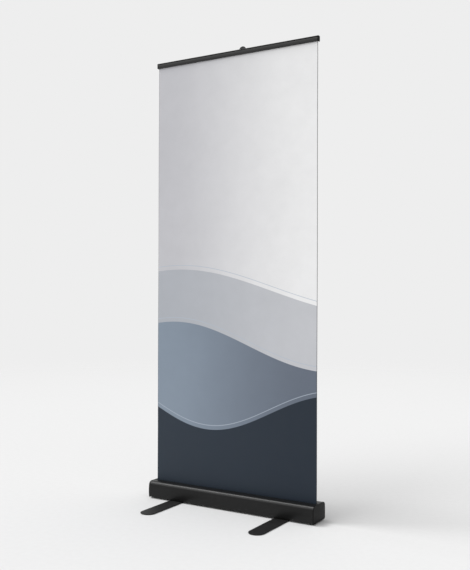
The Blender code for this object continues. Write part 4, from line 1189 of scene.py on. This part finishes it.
def banner_film():
    """Thin closed sheet: a front and a back grid whose depth is film_sway, joined round the edge."""
    x = np.linspace(-BANNER_HALF, BANNER_HALF, FILM_COLUMNS)
    z = np.linspace(FILM_LOW[2], FILM_HIGH[2], FILM_ROWS)
    grid_x, grid_z = np.meshgrid(x, z)
    sway = BANNER_Y + film_sway(grid_x, grid_z)
    front = np.stack([grid_x, sway - FILM_HALF, grid_z], -1).reshape(-1, 3)
    back = np.stack([grid_x, sway + FILM_HALF, grid_z], -1).reshape(-1, 3)
    quads = grid_faces(FILM_ROWS, FILM_COLUMNS, False, False)
    count = FILM_ROWS * FILM_COLUMNS
    index = np.arange(count).reshape(FILM_ROWS, FILM_COLUMNS)
    border = np.concatenate([index[0, :-1], index[:-1, -1], index[-1, :0:-1], index[:0:-1, 0]])
    following = np.roll(border, -1)
    edge = np.stack([border, border + count, following + count, following], -1)
    sheet = (np.concatenate([front, back]), [quads, quads[:, ::-1] + count, edge], np.zeros(2 * count))
    film = solid("printed_banner", [sheet], 60)
    fitted(film, "printed_film", "rail", "banner_film")
    film.data.materials.append(FINISHES["grey_film_back"])
    normals = np.zeros(len(film.data.polygons) * 3, np.float32)
    film.data.polygons.foreach_get("normal", normals)
    behind = (normals.reshape(-1, 3)[:, 1] > -0.5).astype(np.int32)
    film.data.polygons.foreach_set("material_index", behind)
    wound_up(film)
    strips = [edge_strip(word, side) for word, side in (("left", -1), ("right", 1))]


# ---------------------------------------------------------------- frame nodes that stay

KEPT_NODES = {
    "grey_film_back": ["banner_roll"],
    "plain_aluminium": ["roller_tube"],
    "black_plastic": ["roller_plug_left", "roller_plug_right", "spring_anchor", "pole_socket",
                      "pole_lower_plug", "pole_middle_plug", "pole_upper_plug"],
    "zinc_plated_steel": ["spring_arbor", "idle_axle", "foot_nut_left", "foot_nut_right"],
    "spring_steel": ["torsion_spring"],
    "white_nylon": ["foot_washer_left", "foot_washer_right"],
    "black_rubber": ["rail_gripper", "jaw_gripper"],
}


def finish_kept_nodes():
    """Gives the hidden pieces, which keep the frame's shapes, their materials."""
    for finish, nodes in KEPT_NODES.items():
        for node in nodes:
            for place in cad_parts[node].material_slots:
                place.material = FINISHES[finish]


# ---------------------------------------------------------------- studio

CAMERA_PLACE = (1.90659, -3.03974, 0.99893)
CAMERA_YAW = 31.2566
CAMERA_PITCH = 0.421
CAMERA_ROLL = 0.195
CAMERA_LENS = 50.25
BACKDROP = 0.855
SURROUND = 0.60
KEY_POWER = 1.06
KEY_SPREAD = 50.0
KEY_FROM = (-0.45, -0.55, 0.70)
GLINT_POWER = 1.10
GLINT_SPREAD = 20.0
GLINT_FROM = (-0.50, -0.10, 0.86)
FLOOR_DARK = (0.765, 0.765, 0.765, 1.0)
FLOOR_LIGHT = (0.805, 0.805, 0.805, 1.0)
FLOOR_RINGS = (1.0, 2.0, 4.0, 8.0, 14.0)
FLOOR_SPOKES = 96
FLOOR_FADE = (2.2, 9.0)
SENSOR_WIDTH = 36.0
FARTHEST = 100.0


def camera():
    """Looks from half the banner's height, turned by the yaw to the right of its front."""
    lens = bpy.data.cameras.new("camera")
    lens.lens = CAMERA_LENS
    lens.sensor_width = SENSOR_WIDTH
    lens.clip_end = FARTHEST
    item = bpy.data.objects.new("camera", lens)
    bpy.context.scene.collection.objects.link(item)
    item.location = CAMERA_PLACE
    item.rotation_mode = "XYZ"
    yaw, pitch, roll = (math.radians(angle) for angle in (CAMERA_YAW, CAMERA_PITCH, CAMERA_ROLL))
    turns = (Matrix.Rotation(yaw, 4, "Z"), Matrix.Rotation(math.pi / 2 + pitch, 4, "X"),
             Matrix.Rotation(roll, 4, "Z"))
    item.rotation_euler = (turns[0] @ turns[1] @ turns[2]).to_euler("XYZ")
    bpy.context.scene.camera = item


def floor():
    """Pale disc that fades into the backdrop between two radii, so that no horizon shows."""
    angle = np.linspace(0, 2 * math.pi, FLOOR_SPOKES, endpoint=False)
    rings = [np.outer(FLOOR_RINGS, np.cos(angle)), np.outer(FLOOR_RINGS, np.sin(angle))]
    points = np.stack(rings + [0 * rings[0]], -1).reshape(-1, 3)
    spokes = np.arange(FLOOR_SPOKES)
    centre = np.stack([np.full(FLOOR_SPOKES, len(points)), spokes, (spokes + 1) % FLOOR_SPOKES], -1)
    faces = [grid_faces(len(FLOOR_RINGS), FLOOR_SPOKES, False, True), centre]
    points = np.concatenate([points, [[0, 0, 0]]])
    disc = solid("floor", [(points, faces, np.zeros(len(points)))])
    made, wires, shader = new_material("pale_floor")
    place = object_place(wires)
    away = wires.add("ShaderNodeVectorMath", {0: place}, operation="LENGTH").outputs["Value"]
    wires.feed(shader.inputs["Alpha"], wires.band(away, *FLOOR_FADE, 1.0, 0.0))
    wires.feed(shader.inputs["Base Color"], wires.mix(wires.noise(place, 40.0), FLOOR_DARK, FLOOR_LIGHT))
    shader.inputs["Roughness"].default_value = 0.9
    shader.inputs["Specular IOR Level"].default_value = 0.0
    disc.data.materials.append(made)


def backdrop():
    """Even pale surround: one level for the camera and another for the light it gives."""
    world = bpy.data.worlds.new("studio")
    world.use_nodes = True
    bpy.context.scene.world = world
    wires = Wiring(world.node_tree)
    lit = world.node_tree.nodes["Background"]
    lit.inputs["Color"].default_value = (1, 1, 1, 1)
    lit.inputs["Strength"].default_value = SURROUND
    seen = wires.add("ShaderNodeBackground", {"Color": (1, 1, 1, 1), "Strength": BACKDROP})
    ray = wires.add("ShaderNodeLightPath").outputs["Is Camera Ray"]
    both = wires.add("ShaderNodeMixShader", {0: ray, 1: lit.outputs[0], 2: seen.outputs[0]})
    wires.feed(world.node_tree.nodes["World Output"].inputs["Surface"], both.outputs[0])


def distant_light(name, place, spread, power):
    """Light from far away in the direction of place, as soft as its spread in degrees."""
    light = bpy.data.lights.new(name, "SUN")
    light.angle = math.radians(spread)
    light.energy = power
    item = bpy.data.objects.new(name, light)
    bpy.context.scene.collection.objects.link(item)
    item.rotation_euler = Vector(place).to_track_quat("Z", "Y").to_euler()


def studio():
    """Camera, floor, surround and two soft lights."""
    camera()
    floor()
    backdrop()
    distant_light("key", KEY_FROM, KEY_SPREAD, KEY_POWER)
    distant_light("glint", GLINT_FROM, GLINT_SPREAD, GLINT_POWER)
    bpy.context.scene.view_settings.view_transform = "Standard"


def build():
    """Makes the studio and every piece, from the floor up."""
    studio()
    cassette_shell()
    end_cap("left", -1)
    end_cap("right", 1)
    screws()
    slot_brush("front", 3)
    slot_brush("rear", 4)
    for word in ("left", "right"):
        foot(word)
        foot_bolt(word)
        foot_pad(word, "front")
        foot_pad(word, "rear")
    for word in ("lower", "middle", "upper"):
        pole_tube(word)
    collet("lower", "lower", "middle")
    collet("upper", "middle", "upper")
    collar("lower", "middle")
    collar("upper", "upper")
    pole_head()
    rail_body()
    rail_jaw()
    rail_cap("left", -1)
    rail_cap("right", 1)
    banner_film()
    finish_kept_nodes()


build()
